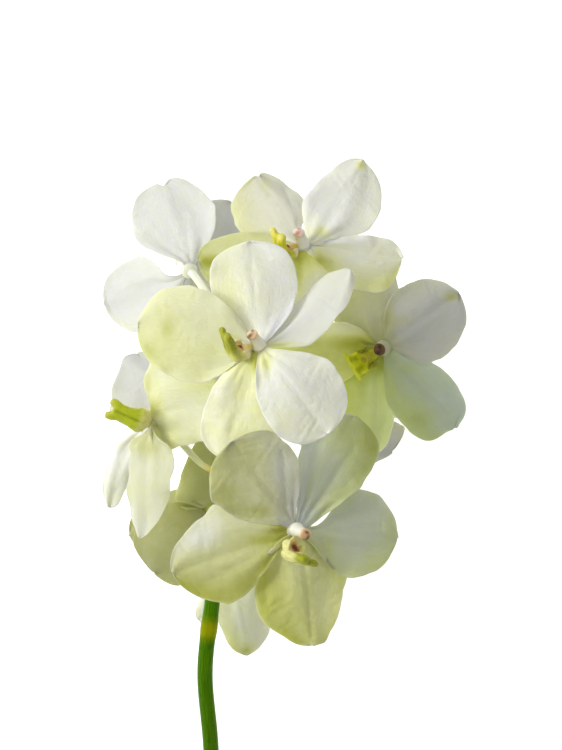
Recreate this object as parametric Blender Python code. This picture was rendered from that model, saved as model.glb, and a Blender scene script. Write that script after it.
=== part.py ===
"""A cut vanda orchid: nine blooms round one green stem, lying on its back with the blooms up.

The outlines were read off a photograph taken from straight above the lying spray. A place is
therefore written as (across, down, height): across and down are pixels of that view, and the
height is in millimetres over the surface. to_part() turns such a place into the part's own frame.
"""
import math

import bmesh
import bpy
from mathutils import Vector

# Driving dimensions, in millimetres.
MM_PER_PIXEL = 0.365        # a bloom is about 82 mm across, which is 225 pixels
VIEW_CENTRE = (281, 375)    # the pixel straight below the eye
EYE_HEIGHT = 1100           # from the eye down to the middle of the head
MIDDLE_HEIGHT = 60          # the height at which MM_PER_PIXEL holds
ORIGIN_PIXEL = (279.73, 566.2)

RIM_HALF = 0.34             # half the thickness of a tepal at its edge
MID_HALF = 0.55             # and along its midrib
USUAL_SWELL = 1.4
ROOT_RADIUS = 1.7           # from the hub to where a tepal starts
DISC_RADIUS = 3.1           # the disc that the tepals grow from
DISC_HALF = 1.7
GAP = 0.35                  # between pieces that touch
LIP_HEEL = (-9.0, 4.0)      # up and forward of the hub: where a lip bends down
LIP_FAN_LENGTH = 9
LIP_SPLIT = 13.4            # how far forward its fork starts
COLUMN_END = 6.3            # from the hub to the end of the column
STEM_RADIUS = 2.85
NODE_DOWN = 628             # how far down the view the stem's node is
NODE_SWELL = 0.35
MM = 0.001

CREAM = (0.83, 0.84, 0.66, 1)
LIP_GREEN = (0.36, 0.38, 0.02, 1)
COLUMN_CREAM = (0.80, 0.76, 0.60, 1)
CAP_BROWN = (0.62, 0.48, 0.36, 1)
STALK_GREEN = (0.72, 0.76, 0.52, 1)
STEM_GREEN = (0.10, 0.30, 0.01, 1)


def tepal(tip, left, right, bend=0, arch=0, cup=-1.2, tilt=(0, 0), notch=0, claw=0.13, turn=0.4,
          fine=True):
    """One tepal: its tip, and for each side its half width in pixels, where along the tepal it is
    widest, how blunt its end is and, where they aren't usual, how slowly it swells from the claw
    and the claw's own share of the width."""
    return dict(tip=tip, left=left, right=right, bend=bend, arch=arch, cup=cup, tilt=tilt,
                notch=notch, claw=claw, turn=turn, fine=fine)


# Each bloom: the hub, the way it faces (tilt from straight up, then compass angle in the view,
# anticlockwise from the right), the way from its lip to its upper sepal (compass angle, then rise),
# its lip (how far forward it is moved in millimetres, how long it is beside the usual, by how many
# degrees it hangs down from its heel, how much its end fans out and how long its fork is), how far
# down the view its stalk leaves the stem, and its five tepals.
BLOOMS = {
    "upper_left": dict(
        hub=(189, 270, 26), faces=(145, 135), up=(107, 0), lip=(0, 0.4, 0, 0, 1), stalk=342,
        tepals=(
            tepal((163, 179, 10), (46, 0.50, 2.1, 1.6), (39, 0.60, 1.5, 1.4), cup=1.0, notch=0.02),
            tepal((104, 303, -0.9), (38, 0.66, 2.8, 1.2), (36, 0.52, 1.5, 2.8), cup=1.0),
            tepal((231, 202, 0.2), (24, 0.60, 2.4), (30, 0.60, 2.4), cup=1.0),
            tepal((268, 322, 4), (30, 0.60, 2.4, 2.0), (30, 0.60, 2.4, 2.0), fine=False),
            tepal((178, 370, 3), (30, 0.60, 2.4, 2.0), (30, 0.60, 2.4, 2.0), fine=False),
        )),
    "top": dict(
        hub=(303, 247, 72), faces=(48, 108), up=(55, 0), lip=(0, 0.8, 0, 0, 1), stalk=302,
        tepals=(
            tepal((363, 161, 74), (35, 0.46, 1.3, 1.2), (37, 0.60, 2.4, 1.7), bend=-5),
            tepal((259, 176, 55), (44, 0.62, 3.6), (26, 0.52, 1.1, 3.0), tilt=(-4, -3)),
            tepal((401, 259, 67), (18, 0.74, 3.0, 2.0), (39, 0.62, 2.8, 0.8), tilt=(2, -4)),
            tepal((199, 261, 57), (34, 0.60, 2.6), (22, 0.62, 2.6), tilt=(-4, 0)),
            tepal((287, 335, 66), (42, 0.45, 2.4, 0.9), (28, 0.55, 2.4), arch=2, fine=False),
        )),
    "centre": dict(
        hub=(260, 348, 98), faces=(50, 122), up=(40, 0), lip=(0.5, 1, 0, 0, 0.6), stalk=386,
        tepals=(
            tepal((351, 271, 97), (24, 0.55, 2.2, 0.8, 0.55), (19, 0.44, 1.8), bend=-11, tilt=(-12, 8)),
            tepal((250, 242, 87), (45, 0.62, 2.6), (42, 0.64, 2.6)),
            tepal((138, 325, 86), (45, 0.58, 1.9), (49, 0.60, 2.5), arch=3),
            tepal((224, 458, 84), (46, 0.66, 2.6), (31, 0.74, 2.6), arch=3),
            tepal((327, 434, 103), (46, 0.58, 2.8, 2.2), (40, 0.62, 2.8), arch=3),
        )),
    "right": dict(
        hub=(384, 348, 62), faces=(15, 200), up=(32, 0), lip=(0, 0.52, 38, 0.5, 0.3), stalk=366,
        tepals=(
            tepal((459, 294, 60), (39, 0.52, 1.9, 1.1), (42, 0.47, 2.0, 1.1), tilt=(-2, 2)),
            tepal((366, 256, 48), (36, 0.40, 2.4, 0.8), (26, 0.60, 2.6), fine=False),
            tepal((456, 431, 58), (31, 0.60, 2.6), (36, 0.58, 2.8), notch=0.04, arch=1.5),
            tepal((266, 347, 59), (38, 0.52, 2.4), (25, 0.40, 2.4)),
            tepal((374, 453, 52), (18, 0.52, 1.8), (36, 0.55, 2.4), arch=-1.5),
        )),
    "left": dict(
        hub=(153, 422, 52), faces=(82, 158), up=(38, -80), lip=(1.4, 1, 0, 0, 1), stalk=472,
        tepals=(
            tepal((228, 366, 46), (30, 0.60, 2.4), (30, 0.60, 2.4), fine=False),
            tepal((138, 355, 28), (43, 0.32, 1.2), (18, 0.70, 3.0)),
            tepal((224, 397, 76), (54, 0.34, 2.3), (37, 0.50, 3.0, 0.35), claw=0.55, turn=0.05),
            tepal((109, 507, 28), (14, 0.60, 2.2), (13, 0.50, 2.2), bend=-9),
            tepal((140, 537, 56), (30, 0.28, 1.6), (17, 0.38, 2.0), tilt=(9, -7), claw=0.35),
        )),
    "front": dict(
        hub=(294, 529, 90), faces=(40, -27), up=(68, 0), lip=(0, 1, 0, 0, 1), stalk=506,
        tepals=(
            tepal((353, 416, 80), (33, 0.65, 2.4, 1.9), (41, 0.72, 2.6, 2.2, 0.36)),
            tepal((232, 442, 94), (46, 0.57, 3.0, 1.8), (43, 0.62, 3.0, 2.0)),
            tepal((397, 539, 74), (45, 0.56, 2.6, 7.0, 0.06), (44, 0.62, 1.4, 2.4), tilt=(0, 6), turn=0.2),
            tepal((173, 573, 86), (46, 0.69, 1.15, 2.3), (48, 0.55, 1.35)),
            tepal((311, 645, 84), (51, 0.42, 0.95, 1.2), (47, 0.62, 1.9, 0.65), tilt=(-6, 0)),
        )),
    "back_left": dict(
        hub=(213, 512, 30), faces=(150, 200), up=(105, 0), lip=(1.6, 1, 0, 0, 1), stalk=500,
        tepals=(
            tepal((212, 431, 34), (36, 0.20, 1.1, 0.6), (26, 0.50, 2.4), claw=0.85, turn=0.1, fine=False),
            tepal((154, 572, 18), (31, 0.72, 2.4, 2.4), (46, 0.58, 3.4, 0.5)),
            tepal((130, 535, 6), (26, 0.50, 3.2), (31, 0.42, 2.0)),
            tepal((260, 526, 24), (24, 0.60, 2.4, 2.0), (22, 0.60, 2.4, 2.0), fine=False),
            tepal((276, 470, 8), (30, 0.60, 2.4), (30, 0.60, 2.4), fine=False),
        )),
    "bottom": dict(
        hub=(250, 574, 30), faces=(150, -95), up=(248, 0), lip=(0.8, 1, 0, 0, 1), stalk=545,
        tepals=(
            tepal((246, 655, 30), (25, 0.56, 1.2), (31, 0.53, 1.2)),
            tepal((199, 620, 20), (15, 0.60, 2.4), (15, 0.60, 2.4), fine=False),
            tepal((308, 622, 0.2), (30, 0.60, 2.4), (30, 0.60, 2.4), fine=False),
            tepal((318, 545, 6), (30, 0.60, 2.4, 2.0), (30, 0.60, 2.4, 2.0), fine=False),
            tepal((218, 530, 0.6), (22, 0.60, 2.4, 2.0), (22, 0.60, 2.4, 2.0), fine=False),
        )),
    "right_rear": dict(
        hub=(350, 410, 26), faces=(150, -20), up=(333, 0), lip=(0, 1, 0, 0, 1), stalk=430,
        tepals=(
            tepal((393, 452, -0.9), (27, 0.66, 6.5), (28, 0.66, 6.5), notch=0.03),
            tepal((354, 491, 20), (15, 0.60, 2.2), (20, 0.60, 2.2), fine=False),
            tepal((345, 345, 8), (30, 0.60, 2.4, 2.0), (30, 0.60, 2.4, 2.0), fine=False),
            tepal((420, 380, 14), (28, 0.60, 2.4), (28, 0.60, 2.4), fine=False),
            tepal((312, 464, 6), (26, 0.60, 2.4, 2.0), (22, 0.60, 2.4, 2.0), fine=False),
        )),
}

# The stem's axis, from the cut end up into the head.
STEM_ROUTE = (
    (214, 940, 2.6), (213, 850, 14), (211, 750, 28), (205, 673, 39), (212, 604, 47), (219, 540, 50),
    (224, 475, 52), (234, 410, 53), (246, 350, 54), (262, 302, 56), (272, 278, 57),
)


def to_view(place):
    """Pixels and height to millimetres in the view's own flat frame."""
    across, down, height = place
    return Vector((across * MM_PER_PIXEL, -down * MM_PER_PIXEL, height))


def to_part(point):
    """From the view's flat frame to the part's frame in metres, along the lines of sight."""
    near = 1 - (point.z - MIDDLE_HEIGHT) / EYE_HEIGHT
    centre = Vector((VIEW_CENTRE[0], -VIEW_CENTRE[1])) * MM_PER_PIXEL
    origin = Vector((ORIGIN_PIXEL[0], -ORIGIN_PIXEL[1])) * MM_PER_PIXEL
    x = centre.x - origin.x + (point.x - centre.x) * near
    y = centre.y - origin.y + (point.y - centre.y) * near
    return Vector((x, y, point.z)) * MM


def compass(angle):
    """The unit vector at a compass angle of the view."""
    return Vector((math.cos(math.radians(angle)), math.sin(math.radians(angle)), 0))


class BloomFrame:
    """The hub of a bloom, with its right, up and forward directions."""

    def __init__(self, bloom):
        tilt = math.radians(bloom["faces"][0])
        self.hub = to_view(bloom["hub"])
        self.forward = compass(bloom["faces"][1]) * math.sin(tilt) + Vector((0, 0, math.cos(tilt)))
        rise = math.radians(bloom["up"][1])
        up = compass(bloom["up"][0]) * math.cos(rise) + Vector((0, 0, math.sin(rise)))
        self.up = (up - self.forward * up.dot(self.forward)).normalized()
        self.right = self.up.cross(self.forward)

    def at(self, x, y, z):
        return self.hub + self.right * x + self.up * y + self.forward * z

    def level(self, direction):
        """A direction laid into the bloom's own plane."""
        return (direction - self.forward * direction.dot(self.forward)).normalized()


def smooth(value):
    value = min(1, max(0, value))
    return value * value * (3 - 2 * value)


def side_width(s, side, claw):
    """The share of a side's half width at s along the tepal: a claw, a belly and a blunt end."""
    widest, blunt = side[1:3]
    swell = side[3] if len(side) > 3 else USUAL_SWELL
    claw = side[4] if len(side) > 4 else claw
    if s < widest:
        return claw + (1 - claw) * math.sin(math.pi / 2 * s / widest) ** swell
    return (1 - min(1, (s - widest) / (1 - widest)) ** blunt) ** 0.5


def tepal_point(frame, shape, s, t):
    """The middle surface of a tepal at s from claw to tip and t from its right to its left edge."""
    tip = to_view(shape["tip"])
    chord = tip - frame.hub
    outward = frame.level(chord)
    root = frame.hub + outward * ROOT_RADIUS
    length = (tip - root).length
    run = s - shape["notch"] * max(0, (s - 0.85) / 0.15) ** 2

    # The midrib leaves the hub in the bloom's own plane and ends at the tip.
    start = outward * length * 0.55
    end = (tip - root) * 0.95
    cubic = run * run * run
    square = run * run
    point = (root * (2 * cubic - 3 * square + 1) + start * (cubic - 2 * square + run)
             + tip * (3 * square - 2 * cubic) + end * (cubic - square))
    flat = Vector((chord.x, chord.y, 0)).normalized()
    leftward = Vector((-flat.y, flat.x, 0))
    belly = 4 * s * (1 - s)
    point += leftward * shape["bend"] * MM_PER_PIXEL * belly
    point += Vector((0, 0, shape["arch"])) * belly

    # Across the blade the photo's own width is used, and near the claw the bloom's plane.
    side = shape["left"] if t > 0 else shape["right"]
    rise = shape["tilt"][0] if t > 0 else shape["tilt"][1]
    across = leftward * side[0] * MM_PER_PIXEL
    across.z = rise if t > 0 else -rise
    claw_across = frame.forward.cross(outward)
    if claw_across.dot(leftward) < 0:
        claw_across = -claw_across
    blend = smooth(s / shape["turn"])
    across = claw_across * side[0] * MM_PER_PIXEL * (1 - blend) + across * blend
    share = side_width(s, side, shape["claw"])
    return point + across * t * share + Vector((0, 0, shape["cup"])) * t * t * share * blend


def stations(rows):
    """Places along a tepal, closer together towards the tip."""
    return [1 - (1 - i / rows) ** 1.35 for i in range(rows + 1)]


def tepal_mesh(frame, shape):
    """Both faces of a tepal and the rim between them, as one closed body."""
    rows, columns = (8, 6) if shape["fine"] else (6, 4)
    along = stations(rows)
    across = [2 * j / columns - 1 for j in range(columns + 1)]
    middle = [[tepal_point(frame, shape, s, t) for t in across] for s in along[:-1]]
    tip = tepal_point(frame, shape, 1, 0)

    mesh = bmesh.new()
    front, back = [], []
    for i, row in enumerate(middle):
        after = middle[i + 1] if i + 1 < rows else [tip] * (columns + 1)
        before = middle[i - 1] if i else row
        upper, lower = [], []
        for j, point in enumerate(row):
            sideways = row[min(j + 1, columns)] - row[max(j - 1, 0)]
            normal = (after[j] - before[j]).cross(sideways).normalized()
            half = RIM_HALF + (MID_HALF - RIM_HALF) * (1 - across[j] ** 2)
            upper.append(mesh.verts.new(point + normal * half))
            lower.append(mesh.verts.new(point - normal * half))
        front.append(upper)
        back.append(lower)
    crest = (tip - middle[-1][columns // 2]).cross(middle[-1][-1] - middle[-1][0]).normalized()
    upper_tip = mesh.verts.new(tip + crest * RIM_HALF)
    lower_tip = mesh.verts.new(tip - crest * RIM_HALF)

    for i in range(rows - 1):
        for j in range(columns):
            for face, turn in ((front, False), (back, True)):
                a, b = face[i][j], face[i][j + 1]
                c, d = face[i + 1][j + 1], face[i + 1][j]
                for corners in ((a, b, c), (a, c, d)):
                    mesh.faces.new(corners[::-1] if turn else corners)
    for j in range(columns):
        mesh.faces.new((front[-1][j], front[-1][j + 1], upper_tip))
        mesh.faces.new((back[-1][j + 1], back[-1][j], lower_tip))
        mesh.faces.new((front[0][j + 1], front[0][j], back[0][j], back[0][j + 1]))
    for j in (0, columns):
        for i in range(rows - 1):
            mesh.faces.new((front[i][j], front[i + 1][j], back[i + 1][j], back[i][j]))
        mesh.faces.new((front[-1][j], upper_tip, lower_tip, back[-1][j]))
    bmesh.ops.recalc_face_normals(mesh, faces=mesh.faces)
    return mesh


def ellipsoid_mesh(centre, axes, radii, around=8, rings=6):
    """An ellipsoid on three given axes."""
    mesh = bmesh.new()
    bmesh.ops.create_uvsphere(mesh, u_segments=around, v_segments=rings, radius=1)
    for vert in mesh.verts:
        x, y, z = vert.co
        vert.co = centre + axes[0] * radii[0] * x + axes[1] * radii[1] * y + axes[2] * radii[2] * z
    return mesh


def tube_mesh(route, widths, heights, sides, up):
    """A closed tube along a route, with an elliptical section at each point of it."""
    mesh = bmesh.new()
    rings = []
    for i, point in enumerate(route):
        ahead = (route[min(i + 1, len(route) - 1)] - route[max(i - 1, 0)]).normalized()
        across = ahead.cross(up).normalized()
        above = across.cross(ahead)
        ring = []
        for k in range(sides):
            turn = 2 * math.pi * (k + 0.5) / sides
            offset = across * widths[i] * math.cos(turn) + above * heights[i] * math.sin(turn)
            ring.append(mesh.verts.new(point + offset))
        rings.append(ring)
    for lower, upper in zip(rings, rings[1:]):
        for k in range(sides):
            mesh.faces.new((lower[k], lower[(k + 1) % sides], upper[(k + 1) % sides], upper[k]))
    mesh.faces.new(rings[0][::-1])
    mesh.faces.new(rings[-1])
    bmesh.ops.recalc_face_normals(mesh, faces=mesh.faces)
    return mesh


def curve_through(points, steps):
    """A smooth curve through the points, with a number of steps between each two."""
    route = []
    for i in range(len(points) - 1):
        before = points[max(i - 1, 0)]
        after = points[min(i + 2, len(points) - 1)]
        a, b = points[i], points[i + 1]
        for k in range(steps):
            u = k / steps
            route.append(0.5 * ((2 * a) + (b - before) * u
                                + (2 * before - 5 * a + 4 * b - after) * u * u
                                + (3 * a - before - 3 * b + after) * u * u * u))
    return route + [points[-1]]


def make_material(name, colour, roughness):
    material = bpy.data.materials.new(name)
    material.use_nodes = True
    shader = material.node_tree.nodes["Principled BSDF"]
    shader.inputs["Base Color"].default_value = colour
    shader.inputs["Roughness"].default_value = roughness
    return material


def make_object(name, mesh, material=None):
    """Turn a mesh in the view's frame into an object in the part's frame, above the surface."""
    for vert in mesh.verts:
        vert.co = to_part(vert.co)
        vert.co.z = max(0, vert.co.z)
    bmesh.ops.triangulate(mesh, faces=[face for face in mesh.faces if len(face.verts) > 4])
    data = bpy.data.meshes.new(name)
    mesh.to_mesh(data)
    mesh.free()
    data.shade_smooth()
    data.set_sharp_from_angle(angle=math.radians(50))
    if material:
        data.materials.append(material)
    shape = bpy.data.objects.new(name, data)
    bpy.context.scene.collection.objects.link(shape)
    return shape


def join(name, meshes, material):
    """One body from several that run into each other."""
    body = make_object(name, meshes[0], material)
    others = bpy.data.collections.new(name + "_parts")
    bpy.context.scene.collection.children.link(others)
    for i, mesh in enumerate(meshes[1:]):
        piece = make_object(f"{name}_{i}", mesh, material)
        bpy.context.scene.collection.objects.unlink(piece)
        others.objects.link(piece)
    union = body.modifiers.new("Union", "BOOLEAN")
    union.operation = "UNION"
    union.operand_type = "COLLECTION"
    union.collection = others
    union.solver = "EXACT"
    graph = bpy.context.evaluated_depsgraph_get()
    joined = bpy.data.meshes.new_from_object(body.evaluated_get(graph))
    body.modifiers.clear()
    body.data = joined
    for piece in list(others.objects):
        bpy.data.objects.remove(piece)
    bpy.data.collections.remove(others)
    return body


def make_tepals(name, bloom, material):
    """The five tepals and the disc that they grow from."""
    frame = BloomFrame(bloom)
    axes = (frame.right, frame.up, frame.forward)
    disc = ellipsoid_mesh(frame.at(0, 0, -0.4), axes, (DISC_RADIUS, DISC_RADIUS, DISC_HALF))
    meshes = [disc] + [tepal_mesh(frame, shape) for shape in bloom["tepals"]]
    return join(f"{name}_tepals", meshes, material)


def lip_places(frame, points, lip):
    """Places of the lip from right, up and forward of the hub, with its front bent and shortened."""
    lift, reach, droop, fan, fork = lip
    droop = math.radians(droop)
    heel_up, heel_forward = LIP_HEEL
    places = []
    for x, y, z in points:
        if z > LIP_SPLIT:
            z = LIP_SPLIT + (z - LIP_SPLIT) * fork
        if z > heel_forward:
            out = (z - heel_forward) * reach
            above = y - heel_up
            y = heel_up + above * math.cos(droop) - out * math.sin(droop)
            z = heel_forward + out * math.cos(droop) + above * math.sin(droop)
            x *= 1 + fan * min(1, out / LIP_FAN_LENGTH)
        places.append(frame.at(x, y, z + lift))
    return places


def make_lip(name, bloom, material):
    """The lip: a broad midlobe with its forked tip, two low side lobes, and a keel that runs from
    the foot of the column into the midlobe's heel."""
    frame = BloomFrame(bloom)
    lip = bloom["lip"]
    wider = 1 + lip[3]
    midlobe = lip_places(frame, ((0, -8.8, 2.0), (0, -9.2, 4.0), (0, -9.2, 6.6), (0, -8.8, 9.6),
                                 (0, -8.5, 12.8), (0, -8.4, 14.8)), lip)
    widths = (2.6, 4.3, 4.2, 3.5 * (1 + lip[3] / 2), 3.5 * wider, 3.6 * wider)
    meshes = [tube_mesh(midlobe, widths, (1.3, 2.2, 2.2, 2.0, 1.7, 1.4), 7, frame.up)]
    for side in (-1, 1):
        fork = lip_places(frame, ((side * 2.0, -8.4, 13.8), (side * 2.5, -8.2, 15.6),
                                  (side * 2.8, -8.0, 17.0)), lip)
        meshes.append(tube_mesh(fork, (1.7 * wider, 1.6 * wider, 0.9 * wider), (1.3, 1.2, 0.6), 5, frame.up))
        lobe = lip_places(frame, ((side * 2.4, -7.8, 3.6), (side * 3.6, -6.4, 3.8),
                                  (side * 3.9, -5.0, 3.8), (side * 3.7, -3.8, 3.6)), lip)
        meshes.append(tube_mesh(lobe, (1.5, 1.6, 1.3, 0.7), (0.8, 0.6, 0.5, 0.4), 5, frame.right))
    keel = lip_places(frame, ((0, -2.2, 3.0), (0, -4.6, 3.1), (0, -7.0, 3.4), (0, -8.6, 3.6)), lip)
    meshes.append(tube_mesh(keel, (1.3, 1.6, 2.1, 2.1), (0.8, 1.0, 1.4, 1.3), 6, frame.forward))
    return join(f"{name}_lip", meshes, material)


def make_column(name, bloom, material):
    """The column, stout and a little wider at its end."""
    frame = BloomFrame(bloom)
    route = [frame.at(0, 0.2, z) for z in (1.3 + GAP, 3.2, 5.0, COLUMN_END)]
    return make_object(f"{name}_column", tube_mesh(route, (2.5, 2.1, 2.3, 2.2), (2.3, 1.9, 2.1, 2.0),
                                                   9, frame.up), material)


def make_cap(name, bloom, material):
    """The anther cap on the end of the column, flat below and domed above."""
    frame = BloomFrame(bloom)
    route = [frame.at(0, 0.1, COLUMN_END + z) for z in (GAP, 1.2, 2.0, 2.4)]
    return make_object(f"{name}_anther_cap", tube_mesh(route, (2.1, 2.0, 1.4, 0.5),
                                                       (1.9, 1.8, 1.2, 0.4), 8, frame.up), material)


def stem_place(down):
    """The point of the stem's axis that lies a number of pixels down the view, and its direction."""
    route = [to_view(place) for place in STEM_ROUTE]
    wanted = -down * MM_PER_PIXEL
    for lower, upper in zip(route, route[1:]):
        if lower.y <= wanted <= upper.y:
            share = (wanted - lower.y) / (upper.y - lower.y)
            return lower.lerp(upper, share), (upper - lower).normalized()


def stem_radius(down):
    """The stem narrows in the head and swells a little at its node."""
    taper = 1 - 0.25 * smooth((520 - down) / 260)
    return STEM_RADIUS * taper + NODE_SWELL * math.exp(-((down - NODE_DOWN) / 9) ** 2)


def stalk_foot(bloom):
    """Where a stalk leaves the stem: the point of the axis, the way out and the way along it."""
    foot, rise = stem_place(bloom["stalk"])
    away = to_view(bloom["hub"]) - foot
    return foot, (away - rise * away.dot(rise)).normalized(), rise


def make_stalk(name, bloom, material):
    """The pedicel, from the stem's side to the back of the bloom."""
    frame = BloomFrame(bloom)
    top = frame.at(0, 0, -0.4 - DISC_HALF - GAP)
    foot, sideways, _ = stalk_foot(bloom)
    start = foot + sideways * (stem_radius(bloom["stalk"]) + GAP)
    leave = start + sideways * 0.8
    arrive = top - frame.forward * 0.8
    length = (arrive - leave).length
    inner = leave + sideways * length * 0.28
    outer = arrive - frame.forward * length * 0.28
    steps = 5
    route = [start]
    for k in range(steps + 1):
        u = k / steps
        route.append(leave * (1 - u) ** 3 + inner * 3 * u * (1 - u) ** 2
                     + outer * 3 * u * u * (1 - u) + arrive * u ** 3)
    route.append(top)
    radii = [1.15 + 0.45 * (k / (steps + 2)) ** 2 for k in range(steps + 3)]
    return make_object(f"{name}_pedicel", tube_mesh(route, radii, radii, 6, Vector((0.3, 0.1, 1))),
                       material)


def bract_mesh(bloom):
    """The small scale under a stalk's foot, rooted in the stem."""
    foot, sideways, rise = stalk_foot(bloom)
    side = stem_radius(bloom["stalk"])
    root = foot - rise * 2.7
    route = [root + sideways * (side - 1.1), root + sideways * (side + 0.9) + rise * 0.1,
             root + sideways * (side + 2.7) + rise * 0.5]
    return tube_mesh(route, (1.8, 1.5, 0.5), (0.6, 0.45, 0.32), 5, rise)


def make_stem(material):
    """The stem, with a bract under each stalk."""
    route = curve_through([to_view(place) for place in STEM_ROUTE], 2)
    radii = [stem_radius(-point.y / MM_PER_PIXEL) for point in route]
    meshes = [tube_mesh(route, radii, radii, 10, Vector((0, 0, 1)))]
    meshes += [bract_mesh(bloom) for bloom in BLOOMS.values()]
    return join("stem", meshes, material)


def main():
    for old in list(bpy.data.objects):
        bpy.data.objects.remove(old)
    cream = make_material("tepal cream", CREAM, 0.55)
    green = make_material("lip green", LIP_GREEN, 0.45)
    pale = make_material("column cream", COLUMN_CREAM, 0.5)
    brown = make_material("anther cap", CAP_BROWN, 0.5)
    stalk = make_material("pedicel green", STALK_GREEN, 0.55)
    leaf = make_material("stem green", STEM_GREEN, 0.45)
    make_stem(leaf)
    for place, bloom in BLOOMS.items():
        name = f"bloom_{place}"
        make_tepals(name, bloom, cream)
        make_lip(name, bloom, green)
        make_column(name, bloom, pale)
        make_cap(name, bloom, brown)
        make_stalk(name, bloom, stalk)


main()
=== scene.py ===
"""The looks of the cut vanda orchid: creased and waved tepals, fleshy lips, spotted anther caps,
ribbed stalks and a green stem, lying on a plain white floor under soft light from the upper left.

Places are written as in the part: (across, down, height), where across and down are pixels of the
view from straight above, and the height is in millimetres over the floor.
"""
import math
import random

import bmesh
import bpy
import numpy as np
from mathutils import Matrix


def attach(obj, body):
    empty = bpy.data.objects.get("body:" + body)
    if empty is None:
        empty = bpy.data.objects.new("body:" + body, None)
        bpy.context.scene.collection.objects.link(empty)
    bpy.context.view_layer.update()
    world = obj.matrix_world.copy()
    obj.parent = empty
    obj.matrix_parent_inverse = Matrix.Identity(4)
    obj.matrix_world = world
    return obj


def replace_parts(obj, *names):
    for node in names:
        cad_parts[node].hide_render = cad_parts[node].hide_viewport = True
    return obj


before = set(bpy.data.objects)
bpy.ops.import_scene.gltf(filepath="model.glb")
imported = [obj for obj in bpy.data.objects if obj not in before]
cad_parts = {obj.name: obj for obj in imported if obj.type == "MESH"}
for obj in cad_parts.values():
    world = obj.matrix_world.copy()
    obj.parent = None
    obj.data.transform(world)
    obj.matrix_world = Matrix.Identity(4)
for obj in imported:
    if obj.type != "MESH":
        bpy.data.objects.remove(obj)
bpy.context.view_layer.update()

# The view, and the sizes that the solids are made with, in millimetres.
MM = 0.001
MM_PER_PIXEL = 0.365
PHOTO_SIZE = (562, 750)
VIEW_CENTRE = (281, 375)
EYE_HEIGHT = 1100
MIDDLE_HEIGHT = 60
ORIGIN_PIXEL = (279.73, 566.2)
USUAL_SWELL = 1.4
ROOT_RADIUS = 1.7
MIDRIB_PULL = (0.55, 0.95)  # how straight a midrib leaves the hub, and how straight it ends
DISC_RADIUS = 3.1
DISC_HALF = 1.7
DISC_BACK = 0.4  # from the hub back to the middle of the disc
GAP = 0.35  # between pieces that touch
LIP_HEEL = (-9.0, 4.0)  # up and forward of the hub: where a lip bends down
LIP_FAN_LENGTH = 6
LIP_SPLIT = 13.4  # how far forward its fork starts
COLUMN_END = 6.3
CAP_FOOT = COLUMN_END + GAP
STEM_RADIUS = 2.85
STEM_TAPER = (0.25, 520, 260)  # its share, how far down the view it starts and over how many pixels
NODE_DOWN = 628
NODE_SWELL = 0.35
NODE_REACH = 9  # half the node's length in pixels

# A tepal's skin and relief, in millimetres unless it says otherwise.
FINE_GRID = (80, 56)  # rows and columns of a tepal that is seen
COARSE_GRID = (32, 22)  # and of one that is hidden
RIM_HALF = 0.13  # half the thickness of a tepal at its edge
MID_HALF = 0.34  # and along its midrib
TIP_ROUND = 0.2  # how far the rim goes round the tip
FLOOR_GAP = 0.05  # the least space under a tepal
RAGGED = ((3.1, 0.010), (5.3, 0.008), (9.7, 0.004))  # waves along the edge: how many, what share
ROOMY = 7  # the half width from which the relief is at its full depth
GROOVE = (0.16, 1.1)  # the midrib's groove: depth and half width
RIDGES = (0.10, 2.4, 1.3)  # the ridges beside it: height, how far out and half width
SOFT_SWELL = 0.30  # the height of the long swells
CREASE = 0.6  # how much of each crease's depth shows
SPREAD_LENGTH = 38  # a usual tepal's length, for its wrinkles
WRINKLES = ((7.0, 0.065), (5.2, 0.045), (3.6, 0.022), (2.8, 0.014), (2.2, 0.010))  # length, depth

# Sections of the fleshy parts: right, up and forward of the hub, then half width and half height.
MIDLOBE = ((0, -8.8, 1.9, 2.6, 1.3), (0, -9.2, 4.0, 4.4, 2.2), (0, -9.2, 6.6, 4.1, 2.1),
           (0, -8.8, 9.6, 3.3, 1.9), (0, -8.5, 12.8, 3.3, 1.6), (0, -8.4, 14.6, 3.3, 1.3))
FORK = ((1.9, -8.4, 13.4, 1.6, 1.3), (2.4, -8.2, 15.2, 1.7, 1.25), (2.8, -8.0, 16.6, 1.3, 0.9))
SIDE_LOBE = ((2.6, -7.8, 3.4, 1.8, 1.0), (3.5, -6.6, 3.7, 2.4, 0.75), (3.8, -5.4, 4.0, 2.2, 0.65),
             (3.5, -4.4, 4.0, 1.4, 0.5))
KEEL = ((0, -2.5, 3.0, 1.5, 0.7), (0, -4.6, 3.0, 2.4, 1.0), (0, -7.0, 3.3, 2.9, 1.4),
        (0, -8.6, 3.6, 2.6, 1.3))
COLUMN = ((0, 0.2, 1.3 + GAP, 3.1, 2.8), (0, 0.2, 3.0, 2.6, 2.3), (0, 0.2, 4.8, 2.4, 2.1),
          (0, 0.2, COLUMN_END - 0.2, 2.2, 2.0))
BRACT = ((-1.1, 0, 1.8, 0.6), (0.9, 0.1, 1.5, 0.45), (2.5, 0.5, 0.5, 0.3))  # out and along the stem

# Rounded bodies: the centre and the three radii.
LIP_HEEL_BALL = ((0, -7.0, 4.0), (3.0, 1.7, 2.6))
CAP_BALLS = (((0, 0.15, CAP_FOOT + 0.75), (2.4, 2.2, 1.05)),
             ((0, -1.0, CAP_FOOT + 0.95), (1.1, 0.9, 0.6)),
             ((0.75, 0.3, CAP_FOOT + 1.2), (0.85, 1.0, 0.7)),
             ((-0.75, 0.3, CAP_FOOT + 1.2), (0.85, 1.0, 0.7)))
HOLLOW_RADII = (1.2, 0.9, 1.1)  # the hollow in the column
CAP_PATCHES = ((0.8, -0.7, 1.5, 2.6), (-0.6, 1.0, 1.6, 1.0))  # right, up and the two radii
ROUNDING = (0.45, 0.9, 1.3)  # angles at which a tube's end is rounded off

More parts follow.
